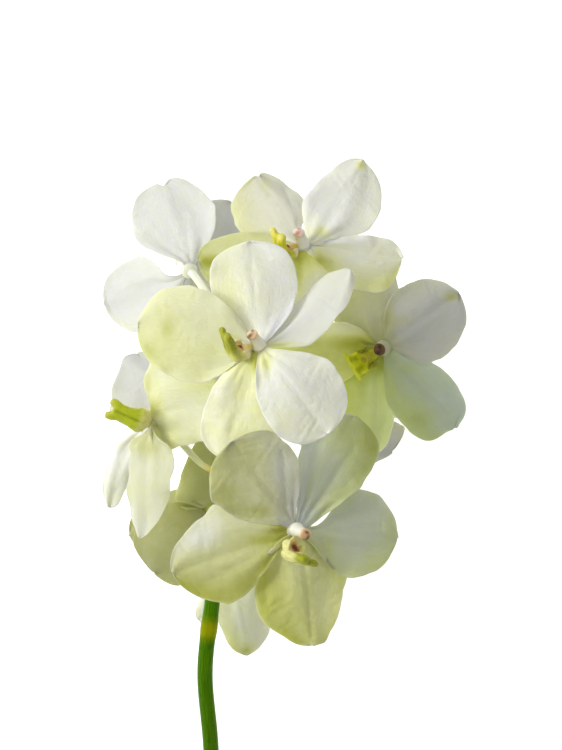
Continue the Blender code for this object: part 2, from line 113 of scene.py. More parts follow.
# The lip's ribs inside, and the furrow and low ridges outside: how far apart and how high.
RIBS = (3.1, 0.38)
FURROW = (0.55, 0.55)  # half width and depth
LOW_RIDGES = (1.7, 0.12)

# Stalks and stem, in millimetres.
STALK_RADIUS = (1.12, 0.45)  # at the foot, and how much more at the bloom
STALK_SUNK = 0.3  # how deep its ends are sunk in what they touch
STALK_STRAIGHT = 0.8  # how far it runs straight at both ends
STALK_PULL = 0.28  # the share of its length over which it bends there
STALK_GRID = (40, 24)  # steps along it and sides round it
STALK_RIBS = (6, 1.2, 0.07)  # how many, how far they turn and their share of the radius
BRACT_DOWN = 2.7  # how far under the stalk its bract is rooted
STEM_SIDES = 40
STEM_SKIN = 0.985  # the skin's radius beside the solid's, to leave room for its grain

# Colours.
PETAL_GREENS = ((0.0, (0.86, 0.865, 0.86)), (0.18, (0.865, 0.87, 0.74)), (0.40, (0.83, 0.845, 0.46)),
                (0.70, (0.60, 0.62, 0.13)), (1.0, (0.42, 0.44, 0.008)))
VEIN = (0.60, 0.67, 0.40, 1)
# A painted highlight along the tepals' edges and round their tips.
RIM_HIGHLIGHT = (0.88, 0.89, 0.80, 1)
BROWN_FLECK = (0.20, 0.10, 0.03, 1)
STALK_GREENS = ((0.0, (0.62, 0.38, 0.01)), (0.10, (0.74, 0.58, 0.08)), (0.24, (0.80, 0.78, 0.42)),
                (0.60, (0.86, 0.86, 0.66)), (1.0, (0.87, 0.87, 0.78)))
STALK_RIB = (0.62, 0.68, 0.36, 1)
STEM_GREENS = ((0.30, (0.038, 0.12, 0.0)), (0.50, (0.07, 0.20, 0.0)), (0.72, (0.13, 0.29, 0.0)))
STEM_FLECK = (0.03, 0.09, 0.002, 1)
NODE_OLIVES = ((0.35, (0.25, 0.29, 0.0)), (0.7, (0.35, 0.37, 0.0)))
BRACT_OCHRE = (0.45, 0.42, 0.10, 1)
CUT_GREENS = ((0.15, (0.22, 0.30, 0.06)), (0.45, (0.50, 0.58, 0.28)))
HOLLOW_BROWN = (0.50, 0.32, 0.12)
# The column's painted shade under its cap.
COLUMN_SHADE = (0.95, 0.88, 0.80)  # how much darker the column is under the cap
FLOOR_WHITES = ((0.3, (0.90, 0.90, 0.90)), (0.7, (0.93, 0.93, 0.93)))
BLACK, WHITE = (0, 0, 0), (1, 1, 1)

# The skins of the fleshy parts: roughness, how strong the mottles are, and their colour.
FLESH_SKINS = {"lip": (0.36, 0.35, (0.60, 0.58, 0.45)), "column": (0.42, 0.08, (0.85, 0.78, 0.66)),
               "anther_cap": (0.38, 0.25, (0.78, 0.55, 0.40))}

# The studio, in metres. Each lamp: the place that it is aimed at, the compass angle and rise of its
# way, its distance and size, its power, and the angle that its light spreads over.
FLOOR_SIZE = 6
FLOOR_DOWN = 0.0002
FLOOR_GLOW = 0.72
SKY = 0.44
LAMPS = (
    ("key", (230, 270, 80), 140, 42, 0.40, 0.30, 0.48, 180),
    ("side", (215, 330, 60), 175, 35, 0.50, 0.25, 0.17, 60),
)


def tepal(tip, left, right, bend=0, arch=0, cup=-1.2, tilt=(0, 0), notch=0, claw=0.13, turn=0.4,
          fine=True):
    """One tepal: its tip, and for each side its half width in pixels, where along the tepal it is
    widest, how blunt its end is and, where they aren't usual, how slowly it swells from the claw
    and the claw's own share of the width."""
    return dict(tip=tip, left=left, right=right, bend=bend, arch=arch, cup=cup, tilt=tilt,
                notch=notch, claw=claw, turn=turn, fine=fine)


def hidden(tip, left, right=None, blunt=2.4, swell=USUAL_SWELL):
    """A tepal that is hardly seen: coarse, and widest at three fifths."""
    return tepal(tip, *((half, 0.60, blunt, swell) for half in (left, right or left)), fine=False)


# Each bloom: the hub, the way it faces (tilt from straight up, then compass angle in the view,
# anticlockwise from the right), the way from its lip to its upper sepal (compass angle, then rise),
# its lip (how far forward it is moved in millimetres, how long it is beside the usual, by how many
# degrees it hangs down from its heel, how much its end fans out and how long its fork is), how far
# down the view its stalk leaves the stem, and its five tepals.
BLOOMS = {
    "upper_left": dict(
        hub=(189, 270, 26), faces=(145, 135), up=(107, 0), lip=(0, 0.4, 0, 0, 1), stalk=342,
        tepals=(
            tepal((163, 179, 10), (46, 0.5, 2.1, 1.6), (39, 0.6, 1.5, 1.4), cup=1.0, notch=0.02),
            tepal((104, 303, -0.9), (38, 0.66, 2.8, 1.2), (36, 0.52, 1.5, 2.8), cup=1.0),
            tepal((231, 202, 0.2), (24, 0.6, 2.4), (30, 0.6, 2.4), cup=1.0),
            hidden((268, 322, 4), 30, swell=2.0),
            hidden((178, 370, 3), 30, swell=2.0),
        )),
    "top": dict(
        hub=(303, 247, 72), faces=(48, 108), up=(55, 0), lip=(0, 0.8, 0, 0, 1), stalk=302,
        tepals=(
            tepal((363, 161, 74), (35, 0.46, 1.3, 1.2), (37, 0.6, 2.4, 1.7), bend=-5),
            tepal((259, 176, 55), (44, 0.62, 3.6), (26, 0.52, 1.1, 3.0), tilt=(-4, -3)),
            tepal((401, 259, 67), (18, 0.74, 3.0, 2.0), (39, 0.62, 2.8, 0.8), tilt=(2, -4)),
            tepal((199, 261, 57), (34, 0.6, 2.6), (22, 0.62, 2.6), tilt=(-4, 0)),
            tepal((287, 335, 66), (42, 0.45, 2.4, 0.9), (28, 0.55, 2.4), arch=2, fine=False),
        )),
    "centre": dict(
        hub=(260, 348, 98), faces=(50, 122), up=(40, 0), lip=(0.5, 1, 0, 0, 0.6), stalk=386,
        tepals=(
            tepal((351, 271, 97), (24, 0.55, 2.2, 0.8, 0.55), (19, 0.44, 1.8), bend=-11, tilt=(-12, 8)),
            tepal((250, 242, 87), (45, 0.62, 2.6), (42, 0.64, 2.6)),
            tepal((138, 325, 86), (45, 0.58, 1.9), (49, 0.6, 2.5), arch=3),
            tepal((224, 458, 84), (46, 0.66, 2.6), (31, 0.74, 2.6), arch=3),
            tepal((327, 434, 103), (46, 0.58, 2.8, 2.2), (40, 0.62, 2.8), arch=3),
        )),
    "right": dict(
        hub=(384, 348, 62), faces=(15, 200), up=(32, 0), lip=(0, 0.52, 38, 0.5, 0.3), stalk=366,
        tepals=(
            tepal((459, 294, 60), (39, 0.52, 1.9, 1.1), (42, 0.47, 2.0, 1.1), tilt=(-2, 2)),
            tepal((366, 256, 48), (36, 0.4, 2.4, 0.8), (26, 0.6, 2.6), fine=False),
            tepal((456, 431, 58), (31, 0.6, 2.6), (36, 0.58, 2.8), notch=0.04, arch=1.5),
            tepal((266, 347, 59), (38, 0.52, 2.4), (25, 0.4, 2.4)),
            tepal((374, 453, 52), (18, 0.52, 1.8), (36, 0.55, 2.4), arch=-1.5),
        )),
    "left": dict(
        hub=(153, 422, 52), faces=(82, 158), up=(38, -80), lip=(1.4, 1, 0, 0, 1), stalk=472,
        tepals=(
            hidden((228, 366, 46), 30),
            tepal((138, 355, 28), (43, 0.32, 1.2), (18, 0.7, 3.0)),
            tepal((224, 397, 76), (54, 0.34, 2.3), (37, 0.5, 3.0, 0.35), claw=0.55, turn=0.05),
            tepal((109, 507, 28), (14, 0.6, 2.2), (13, 0.5, 2.2), bend=-9),
            tepal((140, 537, 56), (30, 0.28, 1.6), (17, 0.38, 2.0), tilt=(9, -7), claw=0.35),
        )),
    "front": dict(
        hub=(294, 529, 90), faces=(40, -27), up=(68, 0), lip=(0, 1, 0, 0, 1), stalk=506,
        tepals=(
            tepal((353, 416, 80), (33, 0.65, 2.4, 1.9), (41, 0.72, 2.6, 2.2, 0.36)),
            tepal((232, 442, 94), (46, 0.57, 3.0, 1.8), (43, 0.62, 3.0, 2.0)),
            tepal((397, 539, 74), (45, 0.56, 2.6, 7.0, 0.06), (44, 0.62, 1.4, 2.4), tilt=(0, 6), turn=0.2),
            tepal((173, 573, 86), (46, 0.69, 1.15, 2.3), (48, 0.55, 1.35)),
            tepal((311, 645, 84), (51, 0.42, 0.95, 1.2), (47, 0.62, 1.9, 0.65), tilt=(-6, 0)),
        )),
    "back_left": dict(
        hub=(213, 512, 30), faces=(150, 200), up=(105, 0), lip=(1.6, 1, 0, 0, 1), stalk=500,
        tepals=(
            tepal((212, 431, 34), (36, 0.2, 1.1, 0.6), (26, 0.5, 2.4), claw=0.85, turn=0.1, fine=False),
            tepal((154, 572, 18), (31, 0.72, 2.4, 2.4), (46, 0.58, 3.4, 0.5)),
            tepal((130, 535, 6), (26, 0.5, 3.2), (31, 0.42, 2.0)),
            hidden((260, 526, 24), 24, 22, swell=2.0),
            hidden((276, 470, 8), 30),
        )),
    "bottom": dict(
        hub=(250, 574, 30), faces=(150, -95), up=(248, 0), lip=(0.8, 1, 0, 0, 1), stalk=545,
        tepals=(
            tepal((246, 655, 30), (25, 0.56, 1.2), (31, 0.53, 1.2)),
            hidden((199, 620, 20), 15),
            hidden((308, 622, 0.2), 30),
            hidden((318, 545, 6), 30, swell=2.0),
            hidden((218, 530, 0.6), 22, swell=2.0),
        )),
    "right_rear": dict(
        hub=(350, 410, 26), faces=(150, -20), up=(333, 0), lip=(0, 1, 0, 0, 1), stalk=430,
        tepals=(
            tepal((393, 452, -0.9), (27, 0.66, 6.5), (28, 0.66, 6.5), notch=0.03),
            hidden((354, 491, 20), 15, 20, blunt=2.2),
            hidden((345, 345, 8), 30, swell=2.0),
            hidden((420, 380, 14), 28),
            hidden((312, 464, 6), 26, 22, swell=2.0),
        )),
}


def finish(green, claw=None, tip=None, left=None, right=None, shade=1.0, pleats=0.3, waves=0.5,
           puckers=1.0, rim=0.3, creases=(), spots=(), pushes=(), marks=()):
    """The look of one tepal. Greens run from 0, white, to 1, olive: of the blade, of its claw, its tip
    and its two sides. Shade dulls it as painted shade, and above 1 brightens it as painted light;
    three numbers also tint it. Pleats and waves are in millimetres. Puckers is how deep the
    fine wrinkles are beside the usual, and rim how strong the painted highlight along the edge is.
    Part of the greens is painted shade: the olive of tepals in shade, and the greener side beside some
    folds.
    A crease is its two ends in the view's pixels, its depth and its half width in millimetres.
    A spot is its centre and its two radii in pixels, and how much greener it is; some paint the shade
    beside folds, and most spots that are less green paint light. A push is a place,
    how far the blade is moved there and over what radius, in pixels. A mark is a brown fleck."""
    more = [0 if value is None else value - green for value in (claw, tip, left, right)]
    return dict(green=green, more=more, shade=shade, pleats=pleats, waves=waves, puckers=puckers,
                rim=rim, creases=creases, spots=spots, pushes=pushes, marks=marks)


# Each tepal's shade is painted shading: below 1 it is painted shade, for tepals that lie in shade or face
# away from the lamps, and above 1 painted light.
FINISH = {
    "upper_left": (
        finish(0.0, 0.04, 0.03, shade=0.88,
               creases=((188, 258, 168, 205, 0.5, 1.6), (184, 258, 150, 225, 0.4, 1.4),
                        (192, 256, 190, 215, 0.4, 1.3)),
               spots=((163, 184, 5, 5, 0.25),), pushes=((163, 179, 0, 7, 5), (178, 177, 0, -1, 9))),
        finish(0.02, 0.03, 0.03, left=0.1, shade=0.84, creases=((176, 271, 130, 282, 0.4, 1.5),)),
        finish(0.05, shade=0.7),
        finish(0.12, shade=0.8),
        finish(0.12, shade=0.8),
    ),
    "top": (
        finish(0.05, 0.3, 0.08, shade=0.94, creases=((322, 226, 350, 182, 0.45, 1.6),),
               spots=((361, 165, 5, 6, 0.45), (322, 231, 8, 5, 0.3)),
               pushes=((345, 240, 0, -5, 18), (363, 160, 0, -1.5, 2.5))),
        finish(0.18, 0.12, 0.18, left=0.32, right=0.1, waves=0.7, shade=(0.78, 0.77, 0.74),
               creases=((259, 178, 270, 194, 0.6, 1.2), (270, 194, 297, 232, 0.5, 1.5),
                        (283, 186, 291, 205, 0.5, 0.9)),
               spots=((266, 186, 6, 9, 0.14),),
               pushes=((304, 207, -3, 0, 4), (304, 216, 2, 0, 3), (300, 223, -3, 0, 4))),
        finish(0.14, 0.26, 0.24, left=0.06, right=0.34, waves=0.9, shade=1.04,
               creases=((318, 246, 372, 256, 0.5, 1.6), (345, 268, 380, 276, 0.4, 1.5)),
               spots=((325, 262, 12, 9, 0.25), (318, 256, 5, 8, 0.25)), pushes=((316, 254, -1, 4, 5),)),
        finish(0.52, 0.43, 0.5, shade=0.73, spots=((209, 261, 11, 6, 0.42), (252, 240, 14, 6, -0.06))),
        finish(0.28, 0.78, left=0.14, right=0.56, shade=1.16, creases=((303, 262, 300, 300, 0.6, 1.4),),
               spots=((298, 275, 5, 16, 0.35),)),
    ),
    "centre": (
        finish(0.1, 0.2, 0.12, right=0.15, shade=0.79, spots=((280, 346, 14, 4, 0.35),),
               creases=((275, 330, 335, 290, 0.35, 2.0),)),
        finish(0.16, 0.09, 0.13, left=0.28, right=0.07, shade=0.98,
               creases=((258, 332, 251, 268, 0.5, 1.5), (262, 330, 262, 285, 0.4, 1.2)),
               spots=((232, 290, 10, 16, 0.08), (293, 270, 5, 14, 0.14))),
        finish(0.35, 0.22, 0.41, left=0.38, right=0.34, shade=0.86,
               spots=((168, 330, 7, 15, 0.2), (150, 352, 8, 12, 0.12), (212, 352, 16, 10, 0.1),
                      (232, 338, 6, 5, 0.2)),
               creases=((245, 346, 165, 300, 0.35, 2.4), (150, 350, 172, 372, 0.9, 1.3))),
        finish(0.3, 0.5, 0.3, shade=1.1,
               creases=((258, 365, 232, 430, 0.5, 1.6), (252, 372, 218, 420, 0.3, 1.8)),
               spots=((258, 362, 7, 11, 0.4), (240, 395, 8, 16, 0.08))),
        finish(0.12, 0.26, 0.16, shade=1.04, spots=((298, 425, 26, 14, 0.1), (266, 364, 6, 10, 0.3)),
               creases=((272, 362, 318, 420, 0.45, 1.8), (268, 372, 284, 425, 0.3, 1.6))),
    ),
    # The right bloom lies in the shade of the others: part of its olive greens is painted shade.
    "right": (
        finish(0.06, 0.36, 0.08, left=0.1, right=0.02, shade=0.74,
               creases=((395, 338, 446, 302, 0.6, 1.7), (392, 345, 430, 342, 0.3, 1.6)),
               spots=((452, 297, 8, 5, 0.4), (388, 314, 7, 18, 0.26), (404, 320, 12, 7, 0.2)),
               marks=((459.5, 297, 1.2, 5),)),
        finish(0.32, 0.48, left=0.44, right=0.18, shade=0.72, creases=((380, 340, 368, 290, 0.6, 1.4),),
               pushes=((344, 316, -8, 3, 9),)),
        finish(0.22, 0.36, 0.18, left=0.06, right=0.4, waves=0.9, shade=(0.73, 0.8, 0.72),
               creases=((392, 360, 450, 412, 1.0, 1.5), (388, 368, 402, 420, 0.4, 1.4),
                        (405, 363, 452, 385, 0.4, 1.6)),
               spots=((408, 368, 12, 6, 0.12), (440, 398, 9, 8, -0.16), (420, 418, 14, 10, 0.16)),
               pushes=((462, 425, -3, 0, 5),)),
        finish(0.56, 0.82, 0.46, left=0.56, right=0.32, shade=1.08,
               spots=((352, 343, 14, 7, 0.25), (335, 332, 14, 5, -0.12)),
               creases=((372, 346, 310, 346, 0.7, 1.6),)),
        finish(0.46, 0.9, 0.42, left=0.4, right=0.66, pleats=0.5, shade=(0.95, 1.0, 1.02),
               creases=((378, 366, 376, 432, 0.8, 1.2), (370, 366, 360, 420, 0.5, 1.4)),
               spots=((362, 385, 7, 18, 0.1),), pushes=((353, 384, -7, -4, 9),)),
    ),
    "left": (
        finish(0.15, shade=0.85),
        finish(0.04, 0.24, 0.02, right=0.14, shade=0.74, creases=((150, 410, 136, 372, 0.4, 1.4),),
               pushes=((129, 360, -4, -2, 9),)),
        finish(0.33, 0.42, 0.29, waves=0.9, shade=0.87,
               spots=((154, 408, 7, 9, 0.25), (205, 385, 20, 8, 0.14)),
               creases=((160, 415, 205, 392, 0.4, 2.0), (165, 430, 195, 432, 0.3, 1.6)),
               pushes=((161, 447, -2, 8, 9), (153, 418, -4, 0, 8))),
        finish(0.08, 0.06, 0.2, creases=((140, 440, 118, 490, 0.4, 1.2),)),
        finish(0.27, 0.43, 0.22, waves=0.8, shade=0.77,
               creases=((148, 440, 145, 520, 0.5, 1.8), (160, 445, 158, 500, 0.4, 1.3)),
               spots=((146, 448, 12, 9, 0.18),), pushes=((142, 446, -7, 0, 10),)),
    ),
    # The front bloom faces away from the lamps: its greener sides and some spots beside the folds are
    # partly painted shade, and spots that are less green are painted light.
    "front": (
        finish(0.28, 0.06, 0.42, left=0.02, right=0.5, pleats=0.7, puckers=1.6, shade=(0.76, 0.8, 0.81),
               creases=((301, 510, 322, 432, 0.9, 1.6), (308, 512, 352, 452, 0.9, 1.6),
                        (298, 505, 299, 452, 0.9, 0.9), (312, 506, 366, 470, 0.5, 1.4)),
               spots=((295, 480, 2.5, 34, 0.35), (345, 440, 20, 16, 0.12))),
        finish(0.41, 0.13, 0.47, left=0.5, right=0.24, waves=0.6, puckers=1.4, shade=0.66,
               pushes=((216, 498, -6, 3, 9),),
               creases=((231, 437, 243, 455, 0.4, 1.0), (236, 434, 256, 446, 0.3, 0.9),
                        (284, 515, 256, 470, 0.5, 1.8), (288, 505, 282, 452, 0.6, 1.4),
                        (270, 516, 226, 492, 0.5, 1.6)),
               spots=((280, 478, 10, 26, -0.16), (262, 510, 16, 6, 0.14), (228, 492, 12, 10, 0.1))),
        finish(0.17, 0.32, 0.27, left=0.15, right=0.35, waves=0.7, shade=(0.74, 0.78, 0.72),
               creases=((312, 533, 380, 526, 0.8, 1.6), (322, 543, 375, 548, 0.4, 1.5),
                        (322, 540, 331, 566, 0.8, 1.2), (326, 527, 372, 506, 0.3, 1.6)),
               spots=((392, 530, 8, 20, 0.14), (330, 545, 8, 12, 0.16)),
               marks=((327.5, 561, 1.5, 3), (330, 565, 1.5, 2.5), (333, 568, 2, 2))),
        finish(0.52, 0.7, 0.56, left=0.7, right=0.28, shade=0.82, puckers=1.8,
               pushes=((214, 510, -1, -5, 8),),
               creases=((180, 569, 284, 533, 1.2, 2.2), (205, 584, 262, 552, 0.6, 2.0),
                        (182, 560, 262, 528, 0.4, 2.6), (184, 582, 214, 594, 0.5, 1.6)),
               spots=((279, 530, 9, 8, 0.15), (262, 540, 14, 6, 0.2), (205, 540, 24, 14, -0.16))),
        finish(0.53, 0.45, 0.6, left=0.49, right=0.66, pleats=0.4, puckers=2.2, shade=0.95,
               creases=((304, 562, 312, 636, 0.9, 1.2), (263, 568, 266, 604, 1.0, 1.3),
                        (288, 566, 280, 610, 0.5, 2.4), (330, 565, 328, 610, 0.5, 2.2)),
               spots=((267, 556, 5, 9, -0.5), (300, 568, 12, 8, -0.14), (322, 600, 12, 34, -0.12)),
               pushes=((276, 644, 2, -5, 17), (320, 640, 4, 2, 8))),
    ),
    # This bloom is seen from behind and lies in shade: part of its olive greens is painted shade.
    "back_left": (
        finish(0.52, rim=0, shade=0.76, pleats=0, waves=0.2),
        finish(0.56, 0.62, 0.5, rim=0, shade=0.64, pleats=0, spots=((186, 503, 12, 9, 0.16),)),
        finish(0.56, rim=0, shade=0.64, pleats=0, pushes=((186, 507, -2, 8, 10),)),
        finish(0.5, rim=0, shade=0.64, pleats=0),
        finish(0.5, rim=0, shade=0.64, pleats=0),
    ),
    "bottom": (
        finish(0.14, 0.2, 0.3, left=0.06, right=0.3, shade=0.95, spots=((247, 650, 6, 6, 0.3),),
               creases=((236, 600, 246, 642, 0.9, 1.1), (262, 600, 256, 640, 0.4, 1.4))),
        finish(0.2),
        finish(0.25),
        finish(0.3),
        finish(0.3),
    ),
    "right_rear": (
        finish(0.12, left=0.3, shade=0.6, creases=((388, 432, 396, 450, 0.3, 1.4),)),
        finish(0.6),
        finish(0.2),
        finish(0.2),
        finish(0.2),
    ),
}

# The colours of the fleshy parts of most blooms: the lip's front, fork, the painted shade in its
# furrows, heel, side lobes, the glow round its throat and the red in it, the column, the cap and its
# spots. Turns is how far out the heel's colour runs, throat the size of the red, and disc how green
# the middle of the bloom is.
USUAL_FLESH = dict(
    front=(0.4, 0.42, 0.010), fork=(0.46, 0.48, 0.014), dark=(0.24, 0.28, 0.002),
    heel=(0.66, 0.66, 0.16), flap=(0.86, 0.8, 0.46), glow=(0.8, 0.54, 0.16), red=(0.22, 0.040, 0.006),
    column=(0.97, 0.95, 0.82), cap=(0.84, 0.64, 0.38), spot=(0.2, 0.050, 0.014), turns=5.5,
    throat=0.8, disc=0.2,
)
FLESH = {
    "upper_left": dict(cap=(0.92, 0.91, 0.86), spot=(0.84, 0.82, 0.72)),
    "top": dict(front=(0.66, 0.62, 0.012), fork=(0.74, 0.7, 0.14), dark=(0.42, 0.4, 0.002),
                heel=(0.62, 0.6, 0.05), cap=(0.92, 0.76, 0.64), spot=(0.55, 0.26, 0.15)),
    "centre": dict(front=(0.37, 0.39, 0.008), fork=(0.36, 0.38, 0.008), glow=(0.94, 0.68, 0.26),
                   flap=(0.95, 0.84, 0.44), column=(0.99, 0.95, 0.74), cap=(0.92, 0.72, 0.44),
                   throat=0.75, disc=0.26),
    # The right bloom lies in the shade of the others: its lip colours are painted light, brighter than its
    # own, and its side lobes and column are darker and greyer, painted shade.
    "right": dict(front=(0.76, 0.8, 0.008), fork=(0.7, 0.74, 0.02), dark=(0.44, 0.5, 0.002),
                  heel=(0.7, 0.74, 0.02), flap=(0.36, 0.38, 0.02), glow=(0.66, 0.64, 0.04),
                  red=(0.48, 0.44, 0.02), column=(0.56, 0.58, 0.38), cap=(0.2, 0.11, 0.045),
                  spot=(0.05, 0.02, 0.01), turns=3.0, disc=0.62),
    "left": dict(front=(0.46, 0.52, 0.016), fork=(0.52, 0.54, 0.05), dark=(0.26, 0.32, 0.002),
                 heel=(0.74, 0.72, 0.26), column=(0.8, 0.78, 0.4), turns=2.6, disc=0.4),
    "front": dict(front=(0.4, 0.44, 0.014), fork=(0.34, 0.37, 0.012), heel=(0.9, 0.88, 0.36),
                  glow=(0.84, 0.6, 0.22), flap=(0.9, 0.87, 0.36), cap=(0.84, 0.56, 0.28),
                  spot=(0.15, 0.040, 0.010), turns=8.6, throat=1.3, disc=0.24),
    "back_left": dict(disc=0.8),
}

# The stem's axis, from the cut end up into the head.
STEM_ROUTE = (
    (214, 940, 2.6), (213, 850, 14), (211, 750, 28), (205, 673, 39), (212, 604, 47), (219, 540, 50),
    (224, 475, 52), (234, 410, 53), (246, 350, 54), (262, 302, 56), (272, 278, 57),
)


def unit(vector):
    return vector / np.linalg.norm(vector)


def upward(height):
    return np.array((0, 0, height))


def smooth(value):
    value = np.clip(value, 0, 1)
    return value * value * (3 - 2 * value)


def ripple(turns):
    """A wave between -1 and 1, from how many turns it has made."""
    return np.sin(2 * np.pi * turns)


def bell(distance, half_width):
    """1 at no distance, falling to 0 on both sides."""
    return np.exp(-(distance / half_width) ** 2)


def to_view(place):
    """Pixels and height to millimetres in the view's own flat frame."""
    across, down, height = place
    return np.array((across * MM_PER_PIXEL, -down * MM_PER_PIXEL, height), float)


def pixels_of(places):
    """Points of the view's flat frame as pixels."""
    return places[..., :2] / MM_PER_PIXEL * (1, -1)


def to_part(points):
    """From the view's flat frame to the part's frame in metres, along the lines of sight."""
    points = np.asarray(points, float)
    near = 1 - (points[..., 2:] - MIDDLE_HEIGHT) / EYE_HEIGHT
    centre = np.array((VIEW_CENTRE[0], -VIEW_CENTRE[1])) * MM_PER_PIXEL
    origin = np.array((ORIGIN_PIXEL[0], -ORIGIN_PIXEL[1])) * MM_PER_PIXEL
    flat = centre - origin + (points[..., :2] - centre) * near
    return np.concatenate((flat, np.maximum(points[..., 2:], 0)), axis=-1) * MM


def compass(angle):
    """The unit vector at a compass angle of the view."""
    return np.array((math.cos(math.radians(angle)), math.sin(math.radians(angle)), 0))


def direction(angle, rise):
    """The unit vector at a compass angle of the view and a rise over it, both in degrees."""
    return compass(angle) * math.cos(math.radians(rise)) + upward(math.sin(math.radians(rise)))


class BloomFrame:
    """The hub of a bloom, with its right, up and forward directions."""

    def __init__(self, bloom):
        tilt = math.radians(bloom["faces"][0])
        self.hub = to_view(bloom["hub"])
        self.forward = compass(bloom["faces"][1]) * math.sin(tilt) + upward(math.cos(tilt))
        up = direction(*bloom["up"])
        self.up = unit(up - self.forward * (up @ self.forward))
        self.right = np.cross(self.up, self.forward)

    def place(self, local):
        """Local points (right, up, forward) in millimetres to the view's frame."""
        return self.hub + np.asarray(local, float) @ np.array((self.right, self.up, self.forward))

    def level(self, way):
        """A direction laid into the bloom's own plane."""
        return unit(way - self.forward * (way @ self.forward))


def side_width(s, side, claw):
    """The share of a side's half width at s along the tepal: a claw, a belly and a blunt end."""
    widest, blunt = side[1:3]
    swell = side[3] if len(side) > 3 else USUAL_SWELL
    claw = side[4] if len(side) > 4 else claw
    below = claw + (1 - claw) * np.sin(np.pi / 2 * np.clip(s / widest, 0, 1)) ** swell
    above = np.sqrt(1 - np.clip((s - widest) / (1 - widest), 0, 1) ** blunt)
    return np.where(s < widest, below, above)


def midrib(hub, outward, shape, s, leftward):
    """The line that leaves the hub in the bloom's own plane and ends at the tepal's tip."""
    tip = to_view(shape["tip"])
    root = hub + outward * ROOT_RADIUS
    start = outward * np.linalg.norm(tip - root) * MIDRIB_PULL[0]
    end = (tip - root) * MIDRIB_PULL[1]
    run = (s - shape["notch"] * np.maximum(0, (s - 0.85) / 0.15) ** 2)[..., None]
    cubic, square = run ** 3, run ** 2
    point = (root * (2 * cubic - 3 * square + 1) + start * (cubic - 2 * square + run)
             + tip * (3 * square - 2 * cubic) + end * (cubic - square))
    belly = (4 * s * (1 - s))[..., None]
    return point + leftward * shape["bend"] * MM_PER_PIXEL * belly + upward(shape["arch"]) * belly


def tepal_sheet(bloom_frame, shape, s, t):
    """The middle surface of a tepal, for a column of s from claw to tip and a row of t across. Across
    the blade the photo's own width is used, and near the claw the bloom's plane."""
    chord = to_view(shape["tip"]) - bloom_frame.hub
    outward = bloom_frame.level(chord)
    flat = unit(np.array((chord[0], chord[1], 0)))
    leftward = np.array((-flat[1], flat[0], 0))
    claw_across = np.cross(bloom_frame.forward, outward)
    if claw_across @ leftward < 0:
        claw_across = -claw_across
    blend = smooth(s / shape["turn"])[..., None]
    spread = t[..., None]
    halves = []
    for sign, side, rise in ((1, shape["left"], shape["tilt"][0]), (-1, shape["right"], shape["tilt"][1])):
        across = leftward * side[0] * MM_PER_PIXEL + upward(sign * rise)
        across = claw_across * side[0] * MM_PER_PIXEL * (1 - blend) + across * blend
        share = side_width(s, side, shape["claw"])[..., None]
        cup = upward(shape["cup"]) * spread ** 2 * share * blend
        halves.append((across * spread * share + cup, share[..., 0] * side[0] * MM_PER_PIXEL))
    sheet = np.where(spread > 0, halves[0][0], halves[1][0])
    return (midrib(bloom_frame.hub, outward, shape, s, leftward) + sheet,
            np.where(t > 0, halves[0][1], halves[1][1]))


def sheet_normals(sheet, forward):
    """Unit normals of a sheet of points, on the side that the bloom faces."""
    normals = np.cross(np.gradient(sheet, axis=0), np.gradient(sheet, axis=1))
    normals /= np.linalg.norm(normals, axis=-1, keepdims=True) + 1e-12
    return -normals if normals[len(sheet) // 3].mean(axis=0) @ forward < 0 else normals


def segment_distance(places, ends):
    """How far each place is from a line between two pixels of the view, in millimetres."""
    first, last = np.array(ends, float).reshape(2, 2)
    run = last - first
    pixels = pixels_of(places)
    share = np.clip((pixels - first) @ run / (run @ run), 0, 1)
    nearest = first + share[..., None] * run
    return np.linalg.norm(pixels - nearest, axis=-1) * MM_PER_PIXEL


def wrinkles(across, along, draw):
    """Fine soft puckers: a few slanted waves of millimetres that come and go."""
    rise = np.zeros_like(across)
    for length, depth in WRINKLES:
        slant = draw.uniform(-1.2, 1.2)
        way = across * math.cos(slant) + along * math.sin(slant)
        fade = 0.5 + 0.5 * ripple(along / 19 + across / 23 + draw.random())
        bend = 0.8 * ripple(along / 13 + draw.random())
        rise += depth * fade * ripple(way / length + bend)
    return rise


def relief(sheet, s, t, half_width, look, draw):
    """How far the sheet stands forward: the midrib's groove, pleats, a waved edge, swells, creases."""
    middle = t * half_width
    room = np.clip(half_width / ROOMY, 0, 1)
    groove = -GROOVE[0] * bell(middle, GROOVE[1]) * (1 - 0.6 * s)
    ridges = RIDGES[0] * bell(np.abs(middle) - RIDGES[1], RIDGES[2]) * (1 - s)
    folds = look["pleats"] * np.cos(2 * np.pi * (1.7 * t + draw.random())) * (1 - smooth((s - 0.1) / 0.6))
    rise = (groove + ridges + folds) * room * smooth(s / 0.15)
    left, right = (ripple(few * s + draw.random()) + 0.5 * ripple(many * s + draw.random())
                   for few, many in ((2.3, 5.1), (2.0, 4.6)))
    rise += look["waves"] * np.abs(t) ** 3.5 * np.where(t > 0, left, right) * smooth(s / 0.35)
    swell = ripple(1.2 * s + 0.5 * t + draw.random()) + ripple(0.9 * t - 0.7 * s + draw.random())
    rise += swell * SOFT_SWELL * smooth(s / 0.3)
    for *ends, depth, half in look["creases"]:
        rise -= CREASE * depth * bell(segment_distance(sheet, ends), half)
    puckers = look["puckers"] * wrinkles(middle, s * SPREAD_LENGTH, draw)
    return rise + puckers * room * smooth((1 - s) / 0.15)


def fleck(sheet, x, y, wide, high):
    """1 in the middle of an ellipse of the view's pixels, and 0 away from it."""
    return np.exp(-((pixels_of(sheet) - (x, y)) ** 2 / (wide ** 2, high ** 2)).sum(axis=-1))


